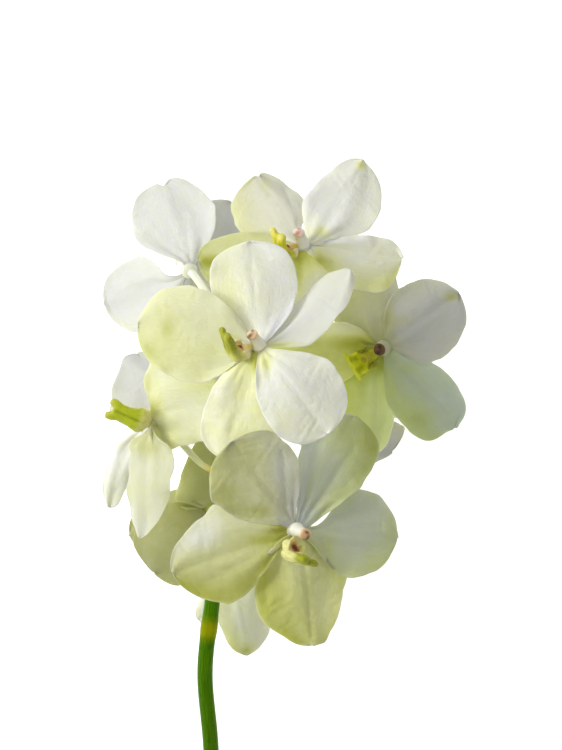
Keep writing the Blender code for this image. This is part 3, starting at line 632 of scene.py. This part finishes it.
def greenness(sheet, s, t, look):
    """How green each point of a tepal is: its claw, tip, sides and spots over the blade's own green,
    partly painted shade and light.
    """
    claw, tip, left, right = look["more"]
    tint = look["green"] + claw * (1 - smooth((s - 0.02) / 0.42)) + tip * smooth((s - 0.55) / 0.45)
    for more, out in ((left, t), (right, -t)):
        tint = tint + more * smooth((out - 0.1) / 0.8) * smooth(s / 0.3)
    for *spot, more in look["spots"]:
        tint = tint + more * fleck(sheet, *spot)
    return tint


def bands(lines):
    """Four-sided faces between each two neighbouring lines of point numbers."""
    return [corners for first, second in zip(lines, lines[1:])
            for corners in zip(first, first[1:], second[1:], second)]


class Build:
    """Vertices, faces and point values of one piece, gathered from its shapes."""

    def __init__(self):
        self.points = []
        self.faces = []
        self.values = {}

    def add(self, points, faces, **values):
        """Take in a shape, with values that are one for each point or one for all."""
        first = sum(len(block) for block in self.points)
        self.points.append(points)
        self.faces += [tuple(first + int(corner) for corner in face) for face in faces]
        for name, value in values.items():
            value = np.full(len(points), value) if np.isscalar(value) else value
            self.values.setdefault(name, []).append(value)

    def make(self, name, materials):
        """An object in the part's frame, smooth, riding on the part."""
        mesh = bpy.data.meshes.new(name)
        mesh.from_pydata(to_part(np.concatenate(self.points)).tolist(), [], self.faces)
        mesh.polygons.foreach_set("use_smooth", [True] * len(mesh.polygons))
        for key, blocks in self.values.items():
            value = np.concatenate(blocks)
            if value.ndim == 1:
                mesh.attributes.new(key, "FLOAT", "POINT").data.foreach_set("value", value)
            else:
                rgba = np.concatenate((value, np.ones((len(value), 1))), axis=1)
                mesh.attributes.new(key, "FLOAT_COLOR", "POINT").data.foreach_set("color", rgba.ravel())
        mesh.validate()
        for material in materials:
            mesh.materials.append(material)
        piece = bpy.data.objects.new(name, mesh)
        bpy.context.scene.collection.objects.link(piece)
        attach(piece, "root")
        return piece


def tepal_points(sheet, normals, half):
    """The points of a tepal's front, its back, its right and left rims and its tip, in that order."""
    lift = normals * half[..., None]
    outward = sheet[:, -1] - sheet[:, 0]
    outward = outward / np.linalg.norm(outward, axis=1, keepdims=True)
    before, last = sheet[-2].mean(axis=0), sheet[-1].mean(axis=0)
    tip = last + unit(last - before) * TIP_ROUND
    return np.concatenate(((sheet + lift).reshape(-1, 3), (sheet - lift).reshape(-1, 3),
                           sheet[:, 0] - outward * RIM_HALF, sheet[:, -1] + outward * RIM_HALF, tip[None]))


def tepal_faces(rows, width):
    """The faces between those points: both sides, both rims, the foot and a fan round the tip."""
    count = rows * width
    front, back = np.arange(2 * count).reshape(2, rows, width)
    right, left = np.arange(2 * count, 2 * count + 2 * rows).reshape(2, rows)
    faces = bands(front) + bands(back[::-1]) + bands((front[:, 0], right, back[:, 0]))
    faces += bands((back[:, -1], left, front[:, -1])) + bands((back[0], front[0]))
    ring = (*front[-1], left[-1], *back[-1][::-1], right[-1], front[-1][0])
    tip = 2 * count + 2 * rows
    return faces + [(*pair, tip) for pair in zip(ring, ring[1:])]


def everywhere(value):
    """A value that each point of a sheet has, for all the points made from the sheet."""
    middle = value.shape[1] // 2
    return np.concatenate((value.ravel(), value.ravel(), value[:, 0], value[:, -1], value[-1:, middle]))


def add_tepal(build, bloom_frame, shape, look, draw):
    """A tepal with a ragged edge, its relief and a rounded rim, and how green each point is."""
    rows, columns = FINE_GRID if shape["fine"] else COARSE_GRID
    s = (1 - (1 - np.arange(rows) / rows) ** 1.7)[:, None] * np.ones((1, columns + 1))
    t = np.linspace(-1, 1, columns + 1)[None, :] * np.ones((rows, 1))
    sheet, half_width = tepal_sheet(bloom_frame, shape, s, t)
    ragged = sum(size * ripple(turns * s + np.where(t > 0, 0.3, 0) + draw.random())
                 for turns, size in RAGGED)
    axis = sheet[:, columns // 2:columns // 2 + 1]
    sheet = axis + (sheet - axis) * (1 + ragged)[..., None]
    for x, y, right, down, reach in look["pushes"]:
        apart = pixels_of(sheet) - (x, y)
        share = np.exp(-(apart ** 2).sum(axis=-1) / reach ** 2)
        sheet = sheet + share[..., None] * np.array((right, -down, 0)) * MM_PER_PIXEL
    normals = sheet_normals(sheet, bloom_frame.forward)
    sheet = sheet + normals * relief(sheet, s, t, half_width, look, draw)[..., None]
    half = RIM_HALF + (MID_HALF - RIM_HALF) * (1 - t ** 2)
    sheet[..., 2] = np.maximum(sheet[..., 2], half + FLOOR_GAP)
    normals = sheet_normals(sheet, bloom_frame.forward)

    points = tepal_points(sheet, normals, half)
    faces = tepal_faces(rows, columns + 1)
    ahead, across = points[columns + 1] - points[0], points[1] - points[0]
    if np.cross(ahead, across) @ normals[0, 0] > 0:
        faces = [face[::-1] for face in faces]
    # The rim: a painted highlight along the edge and round the tip.
    rim = np.maximum(smooth((np.abs(t) - 0.92) / 0.08), smooth((s - 0.96) / 0.04)) * smooth(s / 0.3)
    brown = sum((fleck(sheet, *mark) for mark in look["marks"]), np.zeros_like(s))
    # Shade is painted shade and light for the whole tepal.
    build.add(points, faces, tint=everywhere(greenness(sheet, s, t, look)), angle=everywhere(t),
              claw=everywhere(s), rim=everywhere(rim * look["rim"]), brown=everywhere(brown),
              shade=np.ones((len(points), 3)) * look["shade"])


def turns_round(sides):
    """The angles of the points round a tube."""
    return 2 * np.pi * (np.arange(sides) + 0.5) / sides


def tube(route, widths, heights, sides, up):
    """Points and faces of a closed tube along a route, with an elliptical section at each point."""
    route = np.asarray(route, float)
    turn = turns_round(sides)
    points = []
    for i, point in enumerate(route):
        ahead = unit(route[min(i + 1, len(route) - 1)] - route[max(i - 1, 0)])
        across = unit(np.cross(ahead, up))
        points.append(point + np.outer(np.cos(turn) * widths[i], across)
                      + np.outer(np.sin(turn) * heights[i], np.cross(across, ahead)))
    numbers = np.arange(len(route) * sides).reshape(-1, sides)
    rings = np.concatenate((numbers, numbers[:, :1]), axis=1)[:, ::-1]
    return np.concatenate(points), bands(rings) + [numbers[0], numbers[-1][::-1]]


def textured(points, route, swell):
    """A tube's points, moved out from its route by a share of the radius for each."""
    axis = np.repeat(route, len(points) // len(route), axis=0)
    return axis + (points - axis) * (1 + swell)[:, None]


def curve_through(values, steps):
    """A smooth run through rows of values, with a number of steps between each two."""
    values = np.asarray(values, float)
    run = []
    for i in range(len(values) - 1):
        before = values[max(i - 1, 0)]
        after = values[min(i + 2, len(values) - 1)]
        a, b = values[i], values[i + 1]
        for k in range(steps):
            u = k / steps
            run.append(0.5 * ((2 * a) + (b - before) * u + (2 * before - 5 * a + 4 * b - after) * u * u
                              + (3 * a - before - 3 * b + after) * u * u * u))
    run.append(values[-1])
    return np.array(run)


def round_tube(sections, sides, up):
    """A smooth tube through a few sections (place, half width, half height), with rounded ends."""
    rows = curve_through(sections, 5)

    def rounded(row, inner, angle):
        reach = 0.6 * min(row[3], row[4])
        place = row[:3] + unit(row[:3] - inner[:3]) * reach * math.sin(angle)
        return np.concatenate((place, row[3:] * math.cos(angle)))

    start = [rounded(rows[0], rows[1], angle) for angle in ROUNDING[::-1]]
    end = [rounded(rows[-1], rows[-2], angle) for angle in ROUNDING]
    rows = np.concatenate((start, rows, end))
    return tube(rows[:, :3], rows[:, 3], rows[:, 4], sides, up)


def ball(centre, radii, around=20, rings=14):
    """An ellipsoid on the local axes."""
    mesh = bmesh.new()
    bmesh.ops.create_uvsphere(mesh, u_segments=around, v_segments=rings, radius=1)
    points = np.array([vert.co for vert in mesh.verts]) * radii + centre
    faces = [tuple(vert.index for vert in face.verts) for face in mesh.faces]
    mesh.free()
    return points, faces


def melt(shapes, voxel, rounds):
    """One smooth fleshy skin round several shapes that run into each other."""
    body = Build()
    for points, faces in shapes:
        body.add(points, faces)
    mesh = bpy.data.meshes.new("melt")
    mesh.from_pydata(np.concatenate(body.points).tolist(), [], body.faces)
    piece = bpy.data.objects.new("melt", mesh)
    bpy.context.scene.collection.objects.link(piece)
    skin = piece.modifiers.new("Skin", "REMESH")
    skin.mode = "VOXEL"
    skin.voxel_size = voxel
    soften = piece.modifiers.new("Soften", "SMOOTH")
    soften.factor = 0.5
    soften.iterations = rounds
    bpy.context.view_layer.update()
    result = piece.evaluated_get(bpy.context.evaluated_depsgraph_get()).data
    points = np.array([vert.co for vert in result.vertices])
    normals = np.array([vert.normal for vert in result.vertices])
    faces = [tuple(polygon.vertices) for polygon in result.polygons]
    bpy.data.objects.remove(piece)
    bpy.data.meshes.remove(mesh)
    return points, normals, faces


def mix(first, second, share):
    """Colours between two, for an array of shares."""
    share = np.clip(share, 0, 1)[..., None]
    return np.asarray(first) * (1 - share) + np.asarray(second) * share


def near(points, centre, radii):
    """1 at a place and 0 past the radii round it."""
    return 1 - smooth(np.linalg.norm((points - np.asarray(centre)) / np.asarray(radii), axis=1))


def lip_form():
    """The lip in its own frame: right, up and forward from the hub."""
    right, up, forward = (1, 0, 0), (0, 1, 0), (0, 0, 1)
    shapes = [round_tube(MIDLOBE, 20, up)]
    for side in (-1, 1):
        for sections, above in ((FORK, up), (SIDE_LOBE, right)):
            shapes.append(round_tube([(side * x, *rest) for x, *rest in sections], 14, above))
    shapes += [round_tube(KEEL, 14, forward), ball(*LIP_HEEL_BALL)]
    return melt(shapes, 0.22, 5)


def lip_skin(form, look):
    """The lip's points and colours: ribs and furrows along it with painted shade in the furrows, a warm
    cream heel and a red throat.
    """
    points, normals, faces = form
    x, y, z = points.T
    inner = np.clip(normals[:, 1], 0, 1) * smooth((z - 4) / 2) * (1 - smooth((z - 14) / 3))
    outer = np.clip(-normals[:, 1], 0, 1) * smooth((z - 3) / 3) * (1 - smooth((z - 13) / 3))
    rib = np.cos(2 * np.pi * x / RIBS[0])
    furrow = bell(x, FURROW[0])
    low_ridge = LOW_RIDGES[1] * np.cos(2 * np.pi * x / LOW_RIDGES[0])
    points = points.copy()
    points[:, 1] += inner * RIBS[1] * rib + outer * (FURROW[1] * furrow - low_ridge)

    colour = mix(look["heel"], look["front"], smooth((z - look["turns"]) / 4))
    colour = mix(colour, look["fork"], smooth((z - 13.5) / 3))
    # Painted shade: the dark colour in the troughs between the ribs inside and in the furrow outside.
    colour = mix(colour, look["dark"], 0.8 * inner * (0.5 - 0.5 * rib) * smooth((z - 6) / 3))
    colour = mix(colour, look["dark"], 0.85 * outer * furrow)
    wings = smooth((y + 8.4 - 0.4 * np.abs(x)) / 1.2) * smooth((np.abs(x) - 2.0) / 0.8)
    colour = mix(colour, look["flap"], wings * (1 - smooth((z - 7.5) / 2)))
    inside = smooth((3.5 - np.abs(x)) / 0.8) * smooth((y + 8.6) / 1.4)
    colour = mix(colour, look["glow"], inside * near(points, (0, -5.2, 4.4), (5.0, 4.4, 4.4)) * 1.3)
    throat = np.array((2.4, 2.2, 2.6)) * look["throat"]
    colour = mix(colour, look["red"], inside * near(points, (0, -5.9, 5.6), throat) * 1.8)
    return points, faces, colour


def bend_lip(points, lip):
    """The lip's points with its front shortened, bent down and fanned out, as in the part."""
    lift, reach, droop, fan, fork = lip
    droop = math.radians(droop)
    heel_up, heel_forward = LIP_HEEL
    x, y, z = points.T
    z = np.where(z > LIP_SPLIT, LIP_SPLIT + (z - LIP_SPLIT) * fork, z)
    out = np.maximum(z - heel_forward, 0) * reach
    above = np.where(z > heel_forward, y - heel_up, 0)
    bent_y = np.where(z > heel_forward, heel_up + above * math.cos(droop) - out * math.sin(droop), y)
    bent_z = np.where(z > heel_forward, heel_forward + out * math.cos(droop) + above * math.sin(droop), z)
    return np.stack((x * (1 + fan * smooth(out / LIP_FAN_LENGTH)), bent_y, bent_z + lift), axis=1)


def column_form():
    """The column: stout, with a hollow under its cap."""
    points, normals, faces = melt([round_tube(COLUMN, 20, (0, 1, 0))], 0.22, 3)
    points -= normals * near(points, (0, -1.9, 5.0), HOLLOW_RADII)[:, None] * 0.6
    return points, normals, faces


def column_skin(form, look):
    """White at its foot and cream under the cap, darkened there by painted shade, with the hollow darker.
    """
    points, _, faces = form
    shaded = np.array(look["column"]) * COLUMN_SHADE
    colour = mix(look["column"], shaded, smooth((points[:, 2] - 4.0) / 3))
    return points, faces, mix(colour, HOLLOW_BROWN, 0.8 * near(points, (0, -1.5, 5.0), HOLLOW_RADII))


def cap_form():
    """The anther cap: domed, with a short beak and a furrow."""
    return melt([ball(*body) for body in CAP_BALLS], 0.16, 3)


def cap_skin(form, look):
    """Cream to tan, with a brown patch over one side, a smaller one behind it and a dark beak."""
    points, _, faces = form
    top = CAP_FOOT + 1.4
    colour = np.zeros_like(points) + look["cap"]
    for x, y, wide, high in CAP_PATCHES:
        colour = mix(colour, look["spot"], near(points, (x, y, top), (wide, high, 1.8)))
    beak = near(points, (0, -1.8, top - 0.5), (1.6, 0.8, 1.0))
    return points, faces, mix(colour, look["spot"], 0.8 * beak)


def stem_place(down):
    """The point of the stem's axis that lies a number of pixels down the view, and its direction."""
    route = [to_view(place) for place in STEM_ROUTE]
    wanted = -down * MM_PER_PIXEL
    for lower, upper in zip(route, route[1:]):
        if lower[1] <= wanted <= upper[1]:
            share = (wanted - lower[1]) / (upper[1] - lower[1])
            return lower + (upper - lower) * share, unit(upper - lower)


def stem_radius(down):
    """The stem narrows in the head and swells a little at its node."""
    share, start, run = STEM_TAPER
    taper = 1 - share * smooth((start - down) / run)
    return STEM_RADIUS * taper + NODE_SWELL * math.exp(-((down - NODE_DOWN) / NODE_REACH) ** 2)


def stalk_foot(bloom):
    """Where a stalk leaves the stem: the point of the axis, the way out and the way along it."""
    foot, rise = stem_place(bloom["stalk"])
    away = to_view(bloom["hub"]) - foot
    return foot, unit(away - rise * (away @ rise)), rise


def make_stalk(name, bloom, material):
    """The pedicel: low ribs that turn slowly round it, from the stem to the bloom."""
    bloom_frame = BloomFrame(bloom)
    top = bloom_frame.place((0, 0, -DISC_BACK - DISC_HALF - GAP + STALK_SUNK))
    foot, sideways, _ = stalk_foot(bloom)
    start = foot + sideways * (stem_radius(bloom["stalk"]) + GAP - STALK_SUNK)
    leave = start + sideways * STALK_STRAIGHT
    arrive = top - bloom_frame.forward * STALK_STRAIGHT
    length = np.linalg.norm(arrive - leave)
    inner = leave + sideways * length * STALK_PULL
    outer = arrive - bloom_frame.forward * length * STALK_PULL
    steps, sides = STALK_GRID
    route = [start]
    for k in range(steps + 1):
        u = k / steps
        route.append(leave * (1 - u) ** 3 + inner * 3 * u * (1 - u) ** 2
                     + outer * 3 * u * u * (1 - u) + arrive * u ** 3)
    route.append(top)
    share = np.arange(steps + 3) / (steps + 2)
    radii = STALK_RADIUS[0] + STALK_RADIUS[1] * share ** 2
    points, faces = tube(route, radii, radii, sides, (0.3, 0.1, 1))
    along = np.repeat(share, sides)
    ribs, turns, height = STALK_RIBS
    rib = np.cos(ribs * (np.tile(turns_round(sides), len(route)) + turns * along))
    build = Build()
    build.add(textured(points, route, height * rib * smooth(along / 0.2)), faces, along=along,
              rib=0.5 + 0.5 * rib)
    return build.make(name, [material])


def make_stem(material, cut_material):
    """The stem with its node and the bracts under the stalks."""
    places = curve_through([to_view(place) for place in STEM_ROUTE], 14)
    down = -places[:, 1] / MM_PER_PIXEL
    radii = np.array([stem_radius(value) for value in down]) * STEM_SKIN
    points, faces = tube(places, radii, radii, STEM_SIDES, (0, 0, 1))
    around = np.tile(turns_round(STEM_SIDES), len(places))
    run = np.repeat(-down * MM_PER_PIXEL, STEM_SIDES)
    grain = 0.012 * np.cos(9 * around + 0.02 * run) + 0.008 * np.cos(17 * around - 0.03 * run)
    band = np.exp(-((np.repeat(down, STEM_SIDES) - NODE_DOWN) / 9.5) ** 4)
    build = Build()
    build.add(textured(points, places, grain), faces, along=run, around=np.cos(around), band=band,
              bract=0.0)
    for bloom in BLOOMS.values():
        foot, sideways, rise = stalk_foot(bloom)
        side = stem_radius(bloom["stalk"])
        root = foot - rise * BRACT_DOWN
        sections = [(*(root + sideways * (side + out) + rise * up), *halves) for out, up, *halves in BRACT]
        bract, bract_faces = round_tube(sections, 14, rise)
        build.add(bract, bract_faces, along=bract[:, 1], around=0.0, band=0.0,
                  bract=np.clip((bract - root) @ sideways / (side + 2.5), 0, 1))
    stem = build.make("stem_skin", [material, cut_material])
    cut_face = stem.data.polygons[len(faces) - 2]
    cut_face.material_index = 1
    cut_face.use_smooth = False
    return stem


class Nodes:
    """Short calls for making a material's nodes."""

    def __init__(self, name):
        self.material = bpy.data.materials.new(name)
        self.material.use_nodes = True
        self.tree = self.material.node_tree
        self.shader = self.tree.nodes["Principled BSDF"]

    def add(self, kind, inputs, **settings):
        node = self.tree.nodes.new("ShaderNode" + kind)
        for key, value in settings.items():
            setattr(node, key, value)
        for key, value in inputs.items():
            self.put(value, node.inputs[key])
        return node

    def put(self, value, socket):
        """Link an output to a socket, or set the socket to a plain value."""
        if isinstance(value, bpy.types.NodeSocket):
            self.tree.links.new(value, socket)
        else:
            socket.default_value = value

    def place(self):
        return self.add("TexCoord", {}).outputs["Object"]

    def attribute(self, name, output="Fac"):
        return self.add("Attribute", {}, attribute_name=name).outputs[output]

    def maths(self, operation, first, second):
        return self.add("Math", {0: first, 1: second}, operation=operation).outputs[0]

    def scaled(self, value, share):
        return self.maths("MULTIPLY", value, share)

    def spread(self, value, wide):
        """A noise turned into an offset, up or down, of half a width at most."""
        return self.scaled(self.maths("SUBTRACT", value, 0.5), wide)

    def ramp(self, value, stops):
        node = self.add("ValToRGB", {"Fac": value})
        points = node.color_ramp.elements
        while len(points) < len(stops):
            points.new(0.5)
        for point, (place, colour) in zip(points, stops):
            point.position = place
            point.color = (*colour, 1)
        return node.outputs["Color"]

    def noise(self, vector, scale, detail=2.0, roughness=0.5):
        return self.add("TexNoise", {"Vector": vector, "Scale": scale, "Detail": detail,
                                     "Roughness": roughness}).outputs["Fac"]

    def cells(self, vector, scale):
        return self.add("TexVoronoi", {"Vector": vector, "Scale": scale}).outputs["Distance"]

    def pair(self, x, y):
        """A place made of two values."""
        return self.add("CombineXYZ", {"X": x, "Y": y}).outputs[0]

    def between(self, value, low, high):
        return self.add("MapRange", {"Value": value, "To Min": low, "To Max": high}).outputs[0]

    def blend(self, share, first, second, kind="MIX"):
        node = self.add("Mix", {}, data_type="RGBA", blend_type=kind)
        for key, value in ((0, share), (6, first), (7, second)):
            self.put(value, node.inputs[key])
        return node.outputs[2]

    def bump(self, height, strength, distance, normal=None):
        node = self.add("Bump", {"Height": height, "Strength": strength, "Distance": distance})
        if normal is not None:
            self.put(normal, node.inputs["Normal"])
        return node.outputs["Normal"]

    def finish(self, **sockets):
        for key, value in sockets.items():
            self.put(value, self.shader.inputs[key.replace("_", " ")])
        return self.material


def petal_material():
    """White to olive by the tint of each point, with fine veins, soft blotches and a cell grain, a painted
    highlight along the rim, and painted shade and light from each tepal's shade.
    """
    nodes = Nodes("vanda petal")
    place = nodes.place()
    tint, angle, claw = (nodes.attribute(name) for name in ("tint", "angle", "claw"))
    share = nodes.maths("ADD", tint, nodes.spread(nodes.noise(place, 60, 3), 0.30))
    share = nodes.maths("ADD", share, nodes.spread(nodes.noise(place, 260, 4, 0.65), 0.16))
    colour = nodes.ramp(share, PETAL_GREENS)

    # Veins fan out from the claw: bands of the angle, broken up along the way.
    veins = nodes.noise(nodes.pair(nodes.scaled(angle, 5.0), nodes.scaled(claw, 2.6)), 2.6, 4, 0.6)
    veins = nodes.ramp(veins, ((0.40, BLACK), (0.52, WHITE), (0.64, BLACK)))
    colour = nodes.blend(nodes.scaled(veins, 0.08), colour, VEIN)
    # A painted highlight along the rim.
    colour = nodes.blend(nodes.attribute("rim"), colour, RIM_HIGHLIGHT)
    colour = nodes.blend(nodes.scaled(nodes.attribute("brown"), 0.6), colour, BROWN_FLECK)
    # Painted shade and light: each tepal's shade multiplies its colour.
    colour = nodes.blend(1.0, colour, nodes.attribute("shade", "Color"), "MULTIPLY")
    grain = nodes.cells(place, 900.0)
    blisters = nodes.noise(place, 420, 3, 0.6)
    normal = nodes.bump(nodes.noise(place, 190, 2, 0.5), 0.3, 0.0008)
    for height, strength, distance in ((blisters, 0.45, 0.0006), (veins, 0.3, 0.0002),
                                       (grain, 0.10, 0.0001)):
        normal = nodes.bump(height, strength, distance, normal)
    rough = nodes.between(blisters, 0.42, 0.58)
    nodes.shader.subsurface_method = "RANDOM_WALK"
    return nodes.finish(Base_Color=colour, Roughness=rough, Normal=normal, Subsurface_Weight=0.45,
                        Subsurface_Radius=(1.0, 1.0, 0.55), Subsurface_Scale=0.0008,
                        Specular_IOR_Level=0.3)


def flesh_material(kind, roughness, mottle, dark):
    """A waxy, fleshy skin coloured by its points, with small mottles."""
    nodes = Nodes("vanda " + kind.replace("_", " "))
    place = nodes.place()
    tone = nodes.attribute("tone", "Color")
    spots = nodes.ramp(nodes.noise(place, 700, 4, 0.6), ((0.42, BLACK), (0.66, WHITE)))
    colour = nodes.blend(nodes.scaled(spots, mottle), tone, (*dark, 1), "MULTIPLY")
    pores = nodes.noise(place, 1600, 2)
    normal = nodes.bump(pores, 0.25, 0.0002)
    rough = nodes.between(pores, roughness - 0.06, roughness + 0.08)
    nodes.shader.subsurface_method = "RANDOM_WALK"
    return nodes.finish(Base_Color=colour, Roughness=rough, Normal=normal, Subsurface_Weight=0.30,
                        Subsurface_Radius=(1.0, 0.9, 0.3), Subsurface_Scale=0.0006,
                        Specular_IOR_Level=0.3)


def stalk_material():
    """White below the bloom, pale green further down and ochre where it leaves the stem."""
    nodes = Nodes("vanda stalk")
    place = nodes.place()
    along, rib = nodes.attribute("along"), nodes.attribute("rib")
    wobble = nodes.spread(nodes.noise(place, 160, 3), 0.10)
    colour = nodes.ramp(nodes.maths("ADD", along, wobble), STALK_GREENS)
    colour = nodes.blend(nodes.scaled(rib, 0.22), colour, STALK_RIB)
    normal = nodes.bump(nodes.noise(place, 900, 2), 0.2, 0.0002)
    return nodes.finish(Base_Color=colour, Roughness=0.5, Normal=normal, Subsurface_Weight=0.35,
                        Subsurface_Radius=(1.0, 1.0, 0.6), Subsurface_Scale=0.0009)


def stem_material():
    """Vivid green with long streaks, darker flecks, and an olive yellow band at the node."""
    nodes = Nodes("vanda stem")
    place = nodes.place()
    along, around, band, bract = (nodes.attribute(name) for name in ("along", "around", "band", "bract"))
    streaks = nodes.noise(nodes.pair(nodes.scaled(around, 6.0), nodes.scaled(along, 0.05)), 2.2, 4, 0.6)
    colour = nodes.ramp(streaks, STEM_GREENS)
    flecks = nodes.ramp(nodes.noise(place, 500, 3), ((0.60, BLACK), (0.72, WHITE)))
    colour = nodes.blend(nodes.scaled(flecks, 0.35), colour, STEM_FLECK)
    colour = nodes.blend(band, colour, nodes.ramp(nodes.noise(place, 300, 3), NODE_OLIVES))
    colour = nodes.blend(bract, colour, BRACT_OCHRE)
    normal = nodes.bump(streaks, 0.25, 0.0003)
    return nodes.finish(Base_Color=colour, Roughness=0.45, Normal=normal, Subsurface_Weight=0.15,
                        Subsurface_Radius=(0.5, 1.0, 0.2), Subsurface_Scale=0.0012,
                        Specular_IOR_Level=0.05)


def cut_material():
    """The cut end: a wet pale green face with darker bundles."""
    nodes = Nodes("vanda cut end")
    cells = nodes.cells(nodes.place(), 1500.0)
    colour = nodes.ramp(cells, CUT_GREENS)
    normal = nodes.bump(cells, 0.4, 0.0002)
    return nodes.finish(Base_Color=colour, Roughness=0.3, Normal=normal, Subsurface_Weight=0.2,
                        Subsurface_Scale=0.001)


def make_blooms():
    """Every bloom's five pieces over their CAD nodes."""
    forms = {"lip": (lip_form(), lip_skin), "column": (column_form(), column_skin),
             "anther_cap": (cap_form(), cap_skin)}
    skins = {kind: flesh_material(kind, *skin) for kind, skin in FLESH_SKINS.items()}
    petal, stalk = petal_material(), stalk_material()
    disc, disc_faces = ball((0, 0, -DISC_BACK), (DISC_RADIUS, DISC_RADIUS, DISC_HALF), 28, 18)
    for place, bloom in BLOOMS.items():
        node = f"bloom_{place}"
        draw = random.Random(place)
        bloom_frame = BloomFrame(bloom)
        flesh = {**USUAL_FLESH, **FLESH.get(place, {})}
        build = Build()
        for shape, look in zip(bloom["tepals"], FINISH[place]):
            add_tepal(build, bloom_frame, shape, look, draw)
        build.add(bloom_frame.place(disc), disc_faces, tint=flesh["disc"], angle=disc[:, 0] / 10,
                  claw=0.1, rim=0.0, brown=0.0, shade=np.ones((len(disc), 3)))
        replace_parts(build.make(f"{place}_tepals", [petal]), f"{node}_tepals")
        for kind, (form, skin) in forms.items():
            points, faces, colour = skin(form, flesh)
            if kind == "lip":
                points = bend_lip(points, bloom["lip"])
            build = Build()
            build.add(bloom_frame.place(points), faces, tone=colour)
            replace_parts(build.make(f"{place}_{kind}", [skins[kind]]), f"{node}_{kind}")
        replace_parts(make_stalk(f"{place}_pedicel", bloom, stalk), f"{node}_pedicel")


def make_floor():
    """A plain white floor, just under the part."""
    bpy.ops.mesh.primitive_plane_add(size=FLOOR_SIZE, location=(0, 0, -FLOOR_DOWN))
    floor = bpy.context.object
    floor.name = "floor"
    nodes = Nodes("white floor")
    grain = nodes.ramp(nodes.noise(nodes.place(), 3, 2), FLOOR_WHITES)
    floor.data.materials.append(nodes.finish(Base_Color=grain, Roughness=0.9,
                                             Emission_Color=(1, 1, 1, 1), Emission_Strength=FLOOR_GLOW))


def make_light():
    """A white sky, and lamps that shine from the upper left."""
    world = bpy.data.worlds.new("studio")
    world.use_nodes = True
    sky = world.node_tree.nodes["Background"]
    sky.inputs["Color"].default_value = (1, 1, 1, 1)
    sky.inputs["Strength"].default_value = SKY
    bpy.context.scene.world = world
    for name, aim, angle, rise, distance, size, power, spread in LAMPS:
        light = bpy.data.lights.new(name, "AREA")
        light.shape = "DISK"
        light.size = size
        light.energy = power
        light.spread = math.radians(spread)
        lamp = bpy.data.objects.new(name, light)
        way = direction(angle, rise)
        lamp.location = to_part(to_view(aim)) + way * distance
        lamp.rotation_euler = (math.atan2(math.hypot(way[0], way[1]), way[2]), 0,
                               math.atan2(way[1], way[0]) + math.pi / 2)
        bpy.context.scene.collection.objects.link(lamp)


def make_camera():
    """A camera straight above, with the photo's framing."""
    camera = bpy.data.cameras.new("camera")
    camera.sensor_fit = "VERTICAL"
    camera.sensor_height = 36
    camera.lens = camera.sensor_height * EYE_HEIGHT / (PHOTO_SIZE[1] * MM_PER_PIXEL)
    camera.clip_start = 0.01
    eye = bpy.data.objects.new("camera", camera)
    eye.location = to_part(to_view((*VIEW_CENTRE, MIDDLE_HEIGHT))) + upward(EYE_HEIGHT * MM)
    bpy.context.scene.collection.objects.link(eye)
    bpy.context.scene.camera = eye
    bpy.context.scene.view_settings.view_transform = "Standard"


def main():
    make_blooms()
    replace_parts(make_stem(stem_material(), cut_material()), "stem")
    make_floor()
    make_light()
    make_camera()


main()
